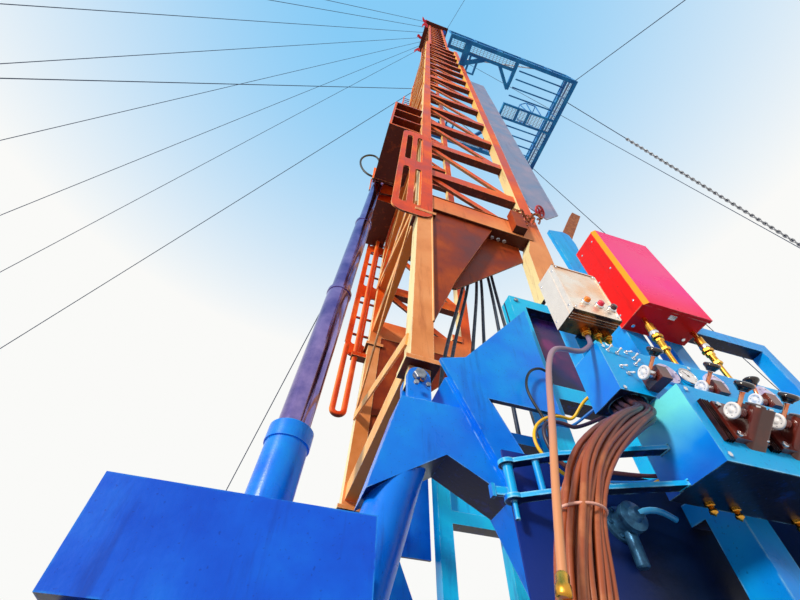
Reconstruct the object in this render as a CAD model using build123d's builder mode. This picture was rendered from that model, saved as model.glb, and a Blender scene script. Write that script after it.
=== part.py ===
"""Guyed two-section workover rig mast on an A-frame base, with raising ram, racking board and console."""

import os
from math import atan2, cos, degrees, hypot, pi, radians, sin, tan

from build123d import *

os.makedirs("parts", exist_ok=True)

# Mast: pins, lean and lower section, in millimetres
pin_height = 3010
pin_diameter = 70
pin_x = -570
mast_lean = 2.45
mast_half_width = 825
leg_size = 130
leg_x = -555
front_leg_x = 570
leg_foot_height = 96
lower_section_top = 17300
portal_beam_height = 2160
portal_beam_depth = 290
first_panel_height = 3010
panel_pitch = 1080
panel_count = 14
panel_beam_depth = 160
panel_beam_width = 90
diagonal_width = 80
diagonal_thickness = 30
heavy_panel = 6
collar_height = 1880
collar_thickness = 40

# Mast: upper section and crown
upper_leg_size = 100
upper_clearance = 45
upper_bottom = 15300
upper_top = 30800
upper_pitch = 1150
upper_beam_depth = 110
lock_block_height = 240
lock_block_width = 230
crown_deck_length = 1500
crown_deck_width = 1800
crown_deck_thickness = 40
crown_beam_depth = 300
sheave_diameter = 760
sheave_width = 50
sheave_shaft_diameter = 110
sheave_count = 4

# Portal plates with rounded windows, and guide plates outside the front legs
gusset_plate = 16
gusset_reach = 245
gusset_bottom = 1760
gusset_top = 4180
window_width = 70
guide_plate_width = 350
guide_plate_thickness = 14
guide_plate_bottom = 2745
guide_plate_top = 11000

# Raising ram
ram_foot_x = -1286
ram_foot_height = 560
ram_head_x = -805
ram_head_height = 7450
ram_barrel_diameter = 262
ram_barrel_length = 2601
ram_collar_diameter = 282
ram_collar_length = 110
ram_stage_diameters = [212, 182, 146]
ram_ring_growth = 12
ram_ring_length = 40
ram_stage_lengths = [1509, 1453]
ram_pin_diameter = 80
crosshead_reach = 450
crosshead_bottom = 4200
crosshead_height = 1320
crosshead_plate = 30

# Base frame and A-frames
rail_height = 300
rail_width = 240
rail_start_x = -2000
rail_end_x = 1700
cross_member_size = 240
tube_diameter = 190
cross_tube_diameter = 140
rear_foot_x = -1325
front_foot_x = 840
box_leg_width = 200
box_leg_depth = 185
apex_drop = 170
side_plate_thickness = 24
post_width = 115
post_top = 4035

# Racking board
board_height = 16500
board_near_y = -1600
board_far_y = 1430
board_inner_x = 530
board_outer_x = 4880
board_beam = 110
board_depth = 120
walkway_width = 380
middle_walkway_width = 470
finger_diameter = 40
finger_pitch = 245
finger_count = 4
finger_start_x = 2960
rail_post_height = 1050

# Console
panel_left = -300
panel_front = -1700
panel_top = 2524
panel_bottom = 2345
box_left = -187
box_front = -1770
box_top = 2336
box_bottom = 2117
console_right = 800
console_back = -1584
port_diameter = 100
port_depth = 75
upper_valves = [(-208, 2386), (-19, 2386), (170, 2389)]
lower_valves = [(-97, 2235), (36, 2235), (170, 2235)]
upper_reach = 40
lower_reach = 42
dial_diameter = 40
dial_thickness = 7
hub_diameter = 28
hub_length = 24
lever_length = 62
lever_diameter = 12
knob_diameter = 42
knob_height = 24
cap_diameter = 74

# Guy lines and anchors
guy_diameter = 22
anchor_plate = 300
anchor_height = 180
anchor_reach = 17000

# Gaps left between pieces that seat on each other and around pins
seat_gap = 0.3
pin_clearance = 0.3

lean = radians(mast_lean)
up_mast = Vector(sin(lean), 0, cos(lean))
across_mast = Vector(cos(lean), 0, -sin(lean))
half_leg = leg_size / 2
mast_rear = leg_x - half_leg
mast_front = front_leg_x + half_leg
inner_y = mast_half_width - half_leg
outer_y = mast_half_width + half_leg


def mast_point(across, y, up):
    """World point of a place given across the mast, along Y and up the mast from the pin level."""
    return Vector(0, y, pin_height) + across_mast * across + up_mast * up


def side_plane(y):
    """Plane of a mast side: x across the mast, y up it, normal towards -Y."""
    return Plane(origin=mast_point(0, y, 0), x_dir=across_mast, z_dir=(0, -1, 0))


def level_plane(up):
    """Plane square to the mast at a height above the pins: x across the mast, y along Y."""
    return Plane(origin=mast_point(0, 0, up), x_dir=across_mast, z_dir=up_mast)


def along_plane(start, end, side=(0, 1, 0)):
    """Plane at start, square to the line to end, with its x towards side."""
    return Plane(origin=start, x_dir=side, z_dir=Vector(*end) - Vector(*start))


def flat_bar(start, end, width):
    """Rectangle along a line in the current sketch."""
    run = hypot(end[0] - start[0], end[1] - start[1])
    turn = degrees(atan2(end[1] - start[1], end[0] - start[0]))
    with Locations(Location(((start[0] + end[0]) / 2, (start[1] + end[1]) / 2, 0), (0, 0, turn))):
        Rectangle(run, width)


def square_bar(start, end, width, depth, side=(0, 1, 0)):
    """Straight rectangular bar from start to end in the current part."""
    with BuildSketch(along_plane(start, end, side)) as profile:
        Rectangle(width, depth)
    extrude(profile.sketch, amount=(Vector(*end) - Vector(*start)).length)


def round_bar(start, end, diameter, side=(0, 1, 0)):
    """Straight round bar from start to end in the current part."""
    with BuildSketch(along_plane(start, end, side)) as profile:
        Circle(diameter / 2)
    extrude(profile.sketch, amount=(Vector(*end) - Vector(*start)).length)


def block(low, high):
    """Box between two corners in the current part."""
    with Locations(low):
        Box(high[0] - low[0], high[1] - low[1], high[2] - low[2], align=(Align.MIN, Align.MIN, Align.MIN))


def plate(plane, points, thickness):
    """Flat plate of an outline, centred on a plane, in the current part."""
    with BuildSketch(plane) as profile:
        with BuildLine():
            Polyline(*points, close=True)
        make_face()
    extrude(profile.sketch, amount=thickness / 2, both=True)


def cord_radii(points):
    """Bend radii of a cord through the points, each within its shorter run."""
    radii = []
    for before, corner, after in zip(points, points[1:], points[2:]):
        into = Vector(*corner) - Vector(*before)
        onward = Vector(*after) - Vector(*corner)
        half_turn = radians(into.get_angle(onward)) / 2
        radii.append(0.45 * min(into.length, onward.length) / tan(half_turn))
    return radii


def cord(points, diameter):
    """Round cord along straight runs joined by arcs, in the current part."""
    with BuildLine() as route:
        FilletPolyline(*points, radius=cord_radii(points))
    with BuildSketch(Plane(origin=route.line @ 0, z_dir=route.line % 0)) as profile:
        Circle(diameter / 2)
    sweep(profile.sketch, path=route.line)


def save(piece, name):
    """Name a finished piece and write it."""
    piece.part.label = name
    export_step(piece.part, f"parts/{name}.step")


# Base frame: two box rails on the ground, tied by cross members
rail_y = mast_half_width
with BuildPart() as base_rails:
    with BuildSketch(Plane.YZ.offset(rail_start_x)):
        with Locations((-rail_y, rail_height / 2), (rail_y, rail_height / 2)):
            Rectangle(rail_width, rail_height)
    extrude(amount=rail_end_x - rail_start_x)
save(base_rails, "base_rails")

cross_gap = 2 * rail_y - rail_width
with BuildPart() as base_cross_members:
    for x in (rail_start_x + cross_member_size, rear_foot_x, 0, rail_end_x - cross_member_size):
        with Locations((x, 0, 0)):
            Box(
                cross_member_size,
                cross_gap,
                cross_member_size,
                align=(Align.CENTER, Align.CENTER, Align.MIN),
            )
save(base_cross_members, "base_cross_members")

# A-frames: a raking tube and a box leg meet at an apex with a clevis for the mast pin
ear_thickness = 30
tongue_thickness = 60
ear_gap = tongue_thickness + 2
ear_radius = 60
apex_height = pin_height - apex_drop
box_leg_top = Vector(pin_x + 205, 0, pin_height + 30)
box_leg_foot = Vector(front_foot_x, 0, rail_height)
a_frames = []
for side, name in ((-1, "a_frame_near"), (1, "a_frame_far")):
    y = side * mast_half_width
    with BuildPart() as a_frame:
        rear_top = (pin_x + 25, y, apex_height)
        rear_foot = (rear_foot_x, y, rail_height - 60)
        round_bar(rear_top, rear_foot, tube_diameter)
        leg_top = (box_leg_top.X, y, box_leg_top.Z)
        leg_foot = (box_leg_foot.X, y, box_leg_foot.Z - 60)
        square_bar(leg_top, leg_foot, box_leg_width, box_leg_depth)
        for foot_x in (rear_foot_x, front_foot_x):
            with Locations((foot_x, y, rail_height)):
                Box(420, rail_width, 40, align=(Align.CENTER, Align.CENTER, Align.MIN))
        apex_outline = [
            (pin_x - 100, apex_height),
            (pin_x + 230, apex_height),
            (pin_x + 470, apex_height - 460),
            (pin_x + 100, apex_height - 260),
            (pin_x - 230, apex_height - 460),
        ]
        plate(Plane.XZ.offset(-y), apex_outline, tube_diameter)
        for ear_side in (-1, 1):
            ear_y = y + ear_side * (ear_gap + ear_thickness) / 2
            with BuildSketch(Plane.XZ.offset(-ear_y)):
                with Locations((pin_x, pin_height)):
                    Circle(ear_radius)
                with Locations((pin_x, (apex_height + pin_height) / 2)):
                    Rectangle(2 * ear_radius, pin_height - apex_height)
                with Locations((pin_x, pin_height)):
                    Circle(pin_diameter / 2 + pin_clearance, mode=Mode.SUBTRACT)
            extrude(amount=ear_thickness / 2, both=True)
        split(bisect_by=Plane.XY.offset(rail_height), keep=Keep.TOP)
    save(a_frame, name)
    a_frames.append(a_frame.part)

# Cross tubes between the two A-frames
with BuildPart() as a_frame_cross_tubes:
    for along in (0.48, 0.78):
        x = rear_foot_x + (pin_x + 25 - rear_foot_x) * along
        z = rail_height + (apex_height - rail_height) * along
        round_bar((x, -mast_half_width, z), (x, mast_half_width, z), cross_tube_diameter, (1, 0, 0))
    for frame in a_frames:
        add(frame, mode=Mode.SUBTRACT)
save(a_frame_cross_tubes, "a_frame_cross_tubes")

# Side plates beside the apex, outside each box leg
plate_right = pin_x + 725
side_outline = [
    (pin_x + 95, pin_height + 100),
    (pin_x + 240, pin_height + 150),
    (pin_x + 610, pin_height + 590),
    (plate_right, pin_height + 730),
    (plate_right, pin_height - 100),
    (pin_x + 330, pin_height - 100),
    (pin_x + 700, pin_height - 900),
    (pin_x + 520, pin_height - 900),
]
with BuildPart() as cheek_plates:
    for side in (-1, 1):
        face_y = mast_half_width + (box_leg_width + side_plate_thickness) / 2
        plate(Plane.XZ.offset(-side * face_y), side_outline, side_plate_thickness)
save(cheek_plates, "cheek_plates")

# Post frames beside the side plates: posts, top and lower bars and a backing sheet
post_left = plate_right
frame_right = post_left + 690
with BuildPart() as post_frames:
    for side in (-1, 1):
        near = side * mast_half_width - side * 35 - 60
        low_y = near
        high_y = near + post_width
        for x in (post_left, frame_right - post_width):
            block((x, low_y, rail_height), (x + post_width, high_y, post_top))
        block((post_left, low_y, post_top - 95), (frame_right, high_y, post_top))
        block((post_left, low_y, pin_height + 110), (frame_right, high_y, pin_height + 210))
        block((post_left, near + 70, pin_height + 110), (frame_right, near + 80, post_top))
    for frame in a_frames:
        add(frame, mode=Mode.SUBTRACT)
    add(cheek_plates.part, mode=Mode.SUBTRACT)
save(post_frames, "post_frames")

# Mast pins
with BuildPart() as mast_pins:
    for side in (-1, 1):
        y = side * mast_half_width
        pin_half = (ear_gap + 2 * ear_thickness) / 2 + 8
        with BuildSketch(Plane.XZ.offset(-y)):
            with Locations((pin_x, pin_height)):
                Circle(pin_diameter / 2)
        extrude(amount=pin_half, both=True)
save(mast_pins, "mast_pins")

# Lower mast section: two side frames, each with two legs, panel beams and diagonals
panel_heights = [first_panel_height + panel_pitch * i for i in range(panel_count)]
lower_frames = []
foot_outline = [
    (front_leg_x - half_leg, portal_beam_height),
    (front_leg_x - 160, portal_beam_height - 390),
    (front_leg_x - 170, portal_beam_height - 1070),
    (front_leg_x - 140, portal_beam_height - 1070),
    (front_leg_x + 52, portal_beam_height - 713),
    (front_leg_x + half_leg, portal_beam_height - 340),
    (front_leg_x + half_leg, portal_beam_height),
]
for side, name in ((-1, "lower_frame_near"), (1, "lower_frame_far")):
    leg_y = side * mast_half_width
    near_face = side_plane(leg_y - half_leg)
    with BuildPart() as side_frame:
        with BuildSketch(near_face):
            flat_bar((leg_x, leg_foot_height), (leg_x, lower_section_top), leg_size)
            flat_bar((front_leg_x, portal_beam_height), (front_leg_x, lower_section_top), leg_size)
            flat_bar((leg_x, portal_beam_height), (front_leg_x, portal_beam_height), portal_beam_depth)
        extrude(amount=-leg_size)
        plate(side_plane(leg_y), foot_outline, leg_size)
        with BuildSketch(side_plane(leg_y - panel_beam_width / 2)):
            for number, height in enumerate(panel_heights):
                deep = portal_beam_depth if number == heavy_panel else panel_beam_depth
                flat_bar((leg_x, height), (front_leg_x, height), deep)
        extrude(amount=-panel_beam_width)
        with BuildSketch(side_plane(leg_y - diagonal_thickness / 2)):
            rungs = [portal_beam_height] + panel_heights
            for number in range(len(rungs) - 1):
                flat_bar((front_leg_x, rungs[number]), (leg_x, rungs[number + 1]), diagonal_width)
        extrude(amount=-diagonal_thickness)
        with BuildSketch(near_face.offset(20)):
            with Locations((leg_x, leg_foot_height - 15)):
                Rectangle(leg_size + 60, 30)
            with Locations((leg_x, collar_height)):
                Rectangle(leg_size + 60, collar_thickness)
            with Locations((front_leg_x - 130, portal_beam_height + portal_beam_depth / 2 + 50)):
                Rectangle(130, 100)
        extrude(amount=-(leg_size + 40))
        tongue_outline = [
            (leg_x - 60, leg_foot_height - 20),
            (leg_x + 60, leg_foot_height - 20),
            (leg_x + 50, -60),
            (leg_x - 70, -60),
        ]
        plate(side_plane(leg_y), tongue_outline, tongue_thickness)
        with BuildSketch(Plane.XZ.offset(-leg_y)):
            with Locations((pin_x, pin_height)):
                Circle(pin_diameter / 2 + pin_clearance)
        extrude(amount=tongue_thickness, both=True, mode=Mode.SUBTRACT)
    save(side_frame, name)
    lower_frames.append(side_frame.part)

# Rear face of the lower section: ties across Y and flat diagonals
rear_heights = [leg_foot_height + 110] + [portal_beam_height] + panel_heights
with BuildPart() as rear_ties:
    for height in rear_heights:
        with BuildSketch(side_plane(-inner_y)):
            with Locations((leg_x, height)):
                Rectangle(90, 140)
        extrude(amount=-2 * inner_y)
save(rear_ties, "rear_ties")

diagonal_heights = [leg_foot_height + 200, 950] + [portal_beam_height] + panel_heights
rear_diagonal_thickness = 14
rear_plane = Plane(origin=mast_point(mast_rear, 0, 0), x_dir=(0, -1, 0), z_dir=-across_mast)
with BuildPart() as rear_diagonals:
    for number in range(len(diagonal_heights) - 1):
        turn = -1 if number % 2 else 1
        lower_end = (turn * mast_half_width, diagonal_heights[number])
        upper_end = (-turn * mast_half_width, diagonal_heights[number + 1])
        with BuildSketch(rear_plane):
            flat_bar(lower_end, upper_end, 75)
        extrude(amount=rear_diagonal_thickness)
save(rear_diagonals, "rear_diagonals")

# Portal gussets: outer plates beside the rear legs, with rounded windows
with BuildPart() as portal_gussets:
    for side in (-1, 1):
        plate_y = side * (outer_y + gusset_plate / 2)
        with BuildSketch(side_plane(plate_y)):
            middle_x = leg_x + half_leg - (leg_size + gusset_reach) / 2
            with Locations((middle_x, (gusset_bottom + gusset_top) / 2)):
                RectangleRounded(leg_size + gusset_reach, gusset_top - gusset_bottom, 120)
            for window_x in (mast_rear - 150, mast_rear - 20):
                for window_z in (gusset_bottom + 640, gusset_top - 640):
                    with Locations((window_x, window_z)):
                        SlotOverall(900, window_width, rotation=90, mode=Mode.SUBTRACT)
        extrude(amount=gusset_plate / 2, both=True)
    for frame in lower_frames:
        add(frame, mode=Mode.SUBTRACT)
save(portal_gussets, "portal_gussets")

# Knee plates and knee braces under the portal beam
portal_underside = portal_beam_height - portal_beam_depth / 2
knee_left = leg_x + half_leg
with BuildPart() as knee_plates:
    for side in (-1, 1):
        brace_outline = [
            (knee_left, 430),
            (knee_left + 185, 1000),
            (knee_left + 590, portal_underside),
            (knee_left, portal_underside),
        ]
        plate(side_plane(side * mast_half_width), brace_outline, 90)
        web_outline = [
            (knee_left, 960),
            (knee_left + 223, 1023),
            (front_leg_x - 160, portal_underside - 252),
            (front_leg_x - 160, portal_underside),
            (knee_left, portal_underside),
        ]
        plate(side_plane(side * (mast_half_width - 52)), web_outline, 14)
    for frame in lower_frames:
        add(frame, mode=Mode.SUBTRACT)
save(knee_plates, "knee_plates")

# Guide plate outside the near front leg
guide_right = mast_front + 55 + guide_plate_width
with BuildPart() as guide_plate:
    guide_outline = [
        (mast_front, guide_plate_bottom + 300),
        (mast_front + 55, guide_plate_bottom + 170),
        (mast_front + 207, guide_plate_bottom),
        (guide_right, guide_plate_bottom + 233),
        (guide_right, guide_plate_top),
        (mast_front, guide_plate_top),
    ]
    plate(side_plane(-mast_half_width - 40), guide_outline, guide_plate_thickness)
    with BuildSketch(level_plane(guide_plate_bottom + 300)):
        with Locations((mast_front + guide_plate_thickness / 2, -mast_half_width)):
            Rectangle(guide_plate_thickness, leg_size)
    extrude(amount=guide_plate_top - guide_plate_bottom - 300)
save(guide_plate, "guide_plate")

# Upper mast section, telescoped into the lower one
upper_half = inner_y - upper_clearance
upper_rear_x = leg_x + half_leg + upper_clearance + upper_leg_size / 2
upper_front_x = front_leg_x - half_leg - upper_clearance - upper_leg_size / 2
upper_heights = []
height = upper_bottom + 200
while height < upper_top:
    upper_heights.append(height)
    height += upper_pitch
for side, name in ((-1, "upper_frame_near"), (1, "upper_frame_far")):
    middle_y = side * (upper_half - upper_leg_size / 2)
    with BuildPart() as upper_frame:
        with BuildSketch(side_plane(middle_y)):
            flat_bar((upper_rear_x, upper_bottom), (upper_rear_x, upper_top), upper_leg_size)
            flat_bar((upper_front_x, upper_bottom), (upper_front_x, upper_top), upper_leg_size)
        extrude(amount=upper_leg_size / 2, both=True)
        with BuildSketch(side_plane(middle_y)):
            for height in upper_heights:
                flat_bar((upper_rear_x, height), (upper_front_x, height), upper_beam_depth)
        extrude(amount=35, both=True)
        with BuildSketch(side_plane(middle_y)):
            for number in range(len(upper_heights) - 1):
                low_end = (upper_front_x, upper_heights[number])
                flat_bar(low_end, (upper_rear_x, upper_heights[number + 1]), 60)
        extrude(amount=14, both=True)
    save(upper_frame, name)

upper_inner = upper_half - upper_leg_size
with BuildPart() as upper_rear_ties:
    for height in upper_heights:
        with BuildSketch(side_plane(-upper_inner)):
            with Locations((upper_rear_x, height)):
                Rectangle(70, 100)
        extrude(amount=-2 * upper_inner)
save(upper_rear_ties, "upper_rear_ties")

# Lock blocks that carry the upper section on the lower one
with BuildPart() as section_locks:
    for side in (-1, 1):
        for across in ((upper_rear_x + leg_x) / 2, (upper_front_x + front_leg_x) / 2):
            with BuildSketch(level_plane(lower_section_top - 600)):
                with Locations((across, side * (upper_half + upper_clearance / 2))):
                    Rectangle(lock_block_width, upper_clearance)
            extrude(amount=lock_block_height)
save(section_locks, "section_locks")

# Crown: deck, beams and sheaves
crown_middle = 60
crown_rear = crown_middle - crown_deck_length / 2
crown_front = crown_middle + crown_deck_length / 2
sheave_x = 120
with BuildPart() as crown_frame:
    with BuildSketch(level_plane(upper_top)):
        with Locations((crown_middle, 0)):
            Rectangle(crown_deck_length, crown_deck_width)
        with Locations((sheave_x, 0)):
            Rectangle(900, 420, mode=Mode.SUBTRACT)
    extrude(amount=crown_deck_thickness)
    with BuildSketch(level_plane(upper_top + crown_deck_thickness)):
        for side in (-1, 1):
            with Locations((sheave_x, side * 250)):
                Rectangle(1100, 40)
            with Locations((crown_rear + 100, side * (crown_deck_width / 2 - 100))):
                Rectangle(200, 200)
    extrude(amount=crown_beam_depth)
save(crown_frame, "crown_frame")

shaft_height = upper_top + crown_deck_thickness + crown_beam_depth - 120
shaft_half = 230 - seat_gap
with BuildPart() as crown_sheaves:
    with BuildSketch(side_plane(-shaft_half)):
        with Locations((sheave_x, shaft_height)):
            Circle(sheave_shaft_diameter / 2)
    extrude(amount=-2 * shaft_half)
    for number in range(sheave_count):
        y = (number - (sheave_count - 1) / 2) * 95
        with BuildSketch(side_plane(y)):
            with Locations((sheave_x, shaft_height)):
                Circle(sheave_diameter / 2)
        extrude(amount=sheave_width / 2, both=True)
save(crown_sheaves, "crown_sheaves")

# Ladder outside the far frame, on brackets from its rear leg
ladder_y = outer_y + 60
ladder_left = mast_rear - 230
ladder_right = mast_rear + 150
ladder_foot = 2020
ladder_top = 15800
rung_pitch = 310
rung_count = int((ladder_top - ladder_foot - 200) / rung_pitch) + 1
with BuildPart() as ladder:
    for stile_x in (ladder_left, ladder_right):
        with BuildSketch(side_plane(ladder_y)):
            flat_bar((stile_x, ladder_foot), (stile_x, ladder_top), 40)
        extrude(amount=12, both=True)
    for number in range(rung_count):
        with BuildSketch(side_plane(ladder_y)):
            rung_height = ladder_foot + 150 + rung_pitch * number
            flat_bar((ladder_left, rung_height), (ladder_right, rung_height), 24)
        extrude(amount=10, both=True)
    for number in range(0, rung_count, 9):
        with BuildSketch(side_plane(outer_y)):
            rung_height = ladder_foot + 150 + rung_pitch * number
            flat_bar((mast_rear + 10, rung_height), (mast_rear + leg_size - 10, rung_height), 50)
        extrude(amount=-60)
    add(portal_gussets.part, mode=Mode.SUBTRACT)
save(ladder, "ladder")

# Standpipe on clamps at the far rear leg, with its return bend at the foot
pipe_diameter = 58
pipe_x = mast_rear - 115
pipe_y = mast_half_width
pipe_foot = 930
bend_width = 110
with BuildPart() as standpipe:
    with BuildLine() as pipe_route:
        FilletPolyline(
            mast_point(pipe_x, pipe_y, 14000),
            mast_point(pipe_x, pipe_y, pipe_foot),
            mast_point(pipe_x - bend_width, pipe_y, pipe_foot),
            mast_point(pipe_x - bend_width, pipe_y, pipe_foot + 900),
            radius=bend_width / 2 - 1,
        )
    with BuildSketch(Plane(origin=pipe_route.line @ 0, z_dir=pipe_route.line % 0)):
        Circle(pipe_diameter / 2)
    sweep()
    clamp_left = pipe_x - pipe_diameter / 2 - 12
    clamp_right = mast_rear - seat_gap
    for number in range(5):
        with BuildSketch(side_plane(pipe_y)):
            clamp_height = 1700 + 2.5 * panel_pitch * number
            flat_bar((clamp_left, clamp_height), (clamp_right, clamp_height), 50)
        extrude(amount=45, both=True)
    add(rear_diagonals.part, mode=Mode.SUBTRACT)
save(standpipe, "standpipe")

# Raising ram: foot bracket, barrel, chromed stages and head bracket
ram_foot = Vector(ram_foot_x, 0, ram_foot_height)
ram_head = Vector(ram_head_x, 0, ram_head_height)
ram_axis = (ram_head - ram_foot).normalized()


def ram_plane(distance):
    """Plane square to the ram at a distance from its foot pin."""
    return Plane(origin=ram_foot + ram_axis * distance, x_dir=(0, 1, 0), z_dir=ram_axis)


with BuildPart() as ram_foot_bracket:
    for ear_side in (-1, 1):
        with BuildSketch(Plane.XZ.offset(-ear_side * 100)):
            with BuildLine():
                Polyline(
                    (ram_foot_x - 170, cross_member_size),
                    (ram_foot_x + 170, cross_member_size),
                    (ram_foot_x + 90, ram_foot_height + 80),
                    (ram_foot_x - 90, ram_foot_height + 80),
                    close=True,
                )
            make_face()
            with Locations((ram_foot_x, ram_foot_height)):
                Circle(ram_pin_diameter / 2 + pin_clearance, mode=Mode.SUBTRACT)
        extrude(amount=15, both=True)
save(ram_foot_bracket, "ram_foot_bracket")

with BuildPart() as ram_barrel:
    with BuildSketch(ram_plane(120)):
        Circle(ram_barrel_diameter / 2)
    extrude(amount=ram_barrel_length - 120)
    with BuildSketch(ram_plane(ram_barrel_length - ram_collar_length)):
        Circle(ram_collar_diameter / 2)
    extrude(amount=ram_collar_length)
    with BuildSketch(Plane.XZ):
        with Locations((ram_foot_x, ram_foot_height)):
            Circle(90)
    extrude(amount=80, both=True)
    with BuildSketch(ram_plane(0)):
        Rectangle(160, 160)
    extrude(amount=140)
    with BuildSketch(Plane.XZ):
        with Locations((ram_foot_x, ram_foot_height)):
            Circle(ram_pin_diameter / 2)
    extrude(amount=125, both=True)
save(ram_barrel, "ram_barrel")

stage_start = ram_barrel_length
for number, name in enumerate(("ram_stage_one", "ram_stage_two")):
    with BuildPart() as ram_stage:
        diameter = ram_stage_diameters[number]
        with BuildSketch(ram_plane(stage_start)):
            Circle(diameter / 2)
        extrude(amount=ram_stage_lengths[number])
        with BuildSketch(ram_plane(stage_start + ram_stage_lengths[number] - ram_ring_length)):
            Circle((diameter + ram_ring_growth) / 2)
        extrude(amount=ram_ring_length)
    save(ram_stage, name)
    stage_start += ram_stage_lengths[number]

ram_length = (ram_head - ram_foot).length
with BuildPart() as ram_rod:
    with BuildSketch(ram_plane(stage_start)):
        Circle(ram_stage_diameters[2] / 2)
    extrude(amount=ram_length - stage_start)
    with BuildSketch(Plane.XZ):
        with Locations((ram_head_x, ram_head_height)):
            Circle(90)
    extrude(amount=60, both=True)
    with BuildSketch(Plane.XZ):
        with Locations((ram_head_x, ram_head_height)):
            Circle(ram_pin_diameter / 2)
    extrude(amount=120, both=True)
save(ram_rod, "ram_rod")

# Crosshead behind the rear legs: back plate, shelves and ribs, with ears for the ram's head
crosshead_face = mast_rear - rear_diagonal_thickness - seat_gap
crosshead_back = mast_rear - crosshead_reach
crosshead_top = crosshead_bottom + crosshead_height
crosshead_end = outer_y + gusset_plate
rod_slot = 150
with BuildPart() as ram_head_bracket:
    with BuildSketch(level_plane(crosshead_bottom)):
        with Locations((crosshead_back + crosshead_plate / 2, 0)):
            Rectangle(crosshead_plate, 2 * crosshead_end)
    extrude(amount=crosshead_height)
    for shelf in range(4):
        shelf_height = crosshead_bottom + (crosshead_height - crosshead_plate) * shelf / 3
        with BuildSketch(level_plane(shelf_height)):
            with Locations(((crosshead_back + crosshead_face) / 2, 0)):
                Rectangle(crosshead_face - crosshead_back, 2 * crosshead_end)
                if shelf == 0:
                    Rectangle(crosshead_face - crosshead_back + 2, 2 * rod_slot, mode=Mode.SUBTRACT)
        extrude(amount=crosshead_plate)
    for rib_y in (-outer_y + 90, -rod_slot - 15, rod_slot + 15, outer_y - 90):
        with BuildSketch(side_plane(rib_y)):
            rib_middle = ((crosshead_back + crosshead_face) / 2, crosshead_bottom + crosshead_height / 2)
            with Locations(rib_middle):
                Rectangle(crosshead_face - crosshead_back, crosshead_height)
        extrude(amount=10, both=True)
    for ear_side in (-1, 1):
        with BuildSketch(Plane.XZ.offset(-ear_side * 90)):
            with BuildLine():
                Polyline(
                    (ram_head_x - 100, ram_head_height - 110),
                    (ram_head_x - 100, ram_head_height + 300),
                    (ram_head_x + 360, ram_head_height + 300),
                    (ram_head_x + 360, ram_head_height - 60),
                    (ram_head_x + 90, ram_head_height - 110),
                    close=True,
                )
            make_face()
        extrude(amount=15, both=True)
    with BuildSketch(ram_plane(ram_length - 400)):
        Rectangle(2 * 74.5, 2 * 110)
    extrude(amount=520, mode=Mode.SUBTRACT)
    with BuildSketch(Plane.XZ):
        with Locations((ram_head_x, ram_head_height)):
            Circle(ram_pin_diameter / 2 + pin_clearance)
    extrude(amount=122, both=True, mode=Mode.SUBTRACT)
    split(
        bisect_by=Plane(origin=mast_point(crosshead_face, 0, 0), x_dir=(0, 1, 0), z_dir=across_mast),
        keep=Keep.BOTTOM,
    )
    add(standpipe.part, mode=Mode.SUBTRACT)
save(ram_head_bracket, "ram_head_bracket")

# Side tank and its stand
tank_left = -1510
tank_right = -829
tank_front = -1235
tank_bottom = 1885
tank_top = 2136
tank_depth = 280
with BuildPart() as side_tank:
    block((tank_left, tank_front, tank_bottom), (tank_right, tank_front + tank_depth, tank_top))
save(side_tank, "side_tank")

with BuildPart() as tank_stand:
    for x in (tank_left + 60, tank_right - 60):
        stand_y = tank_front + tank_depth / 2
        square_bar((x, stand_y, 0), (x, stand_y, tank_bottom), 80, 80, (1, 0, 0))
        square_bar((x, stand_y, 150), (x, -rail_y - rail_width / 2, 150), 80, 80, (1, 0, 0))
save(tank_stand, "tank_stand")

# Racking board: beams of the outer walkways, the arms to the mast and the middle walkway
arm_x = mast_point(front_leg_x, 0, (board_height - pin_height) / cos(lean)).X
board_middle = (board_near_y + board_far_y) / 2
strip_x = board_outer_x - walkway_width
walk_end_x = 2850
board_top = board_height + board_depth
with BuildPart() as board_frame:
    for side, edge in ((1, board_near_y), (-1, board_far_y)):
        with BuildSketch(Plane.XY.offset(board_height)):
            outer_line = edge + side * board_beam / 2
            inner_line = edge + side * (walkway_width - 40)
            flat_bar((board_inner_x, outer_line), (board_outer_x, outer_line), board_beam)
            flat_bar((board_inner_x, inner_line), (walk_end_x, inner_line), 80)
            flat_bar((board_inner_x + 40, edge), (board_inner_x + 40, inner_line), 80)
            flat_bar((walk_end_x - 50, edge), (walk_end_x - 50, edge + side * 900), 100)
            flat_bar((2290, inner_line), (walk_end_x - 50, edge + side * 890), 90)
            arm_end = -side * (outer_y + seat_gap)
            flat_bar((arm_x, edge), (arm_x, arm_end), 200)
            flat_bar((arm_x, arm_end - side * 60), (arm_x + 650, inner_line), 120)
            for x in (arm_x + 180, arm_x + 430):
                flat_bar((x, inner_line), (x, inner_line + side * 520), 50)
            flat_bar((arm_x + 155, inner_line + side * 500), (arm_x + 455, inner_line + side * 500), 40)
        extrude(amount=board_depth)
    with BuildSketch(Plane.XY.offset(board_height)):
        outer_x = board_outer_x - board_beam / 2
        flat_bar((outer_x, board_near_y), (outer_x, board_far_y), board_beam)
        flat_bar((strip_x + 30, board_near_y), (strip_x + 30, board_far_y), 60)
        for side in (-1, 1):
            middle_line = board_middle + side * (middle_walkway_width / 2 - 30)
            flat_bar((2900, middle_line), (outer_x, middle_line), 60)
        for x in (2930, 3480, 3860):
            low_line = board_middle - middle_walkway_width / 2
            flat_bar((x, low_line), (x, low_line + middle_walkway_width), 60)
    extrude(amount=board_depth)
save(board_frame, "board_frame")

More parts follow.
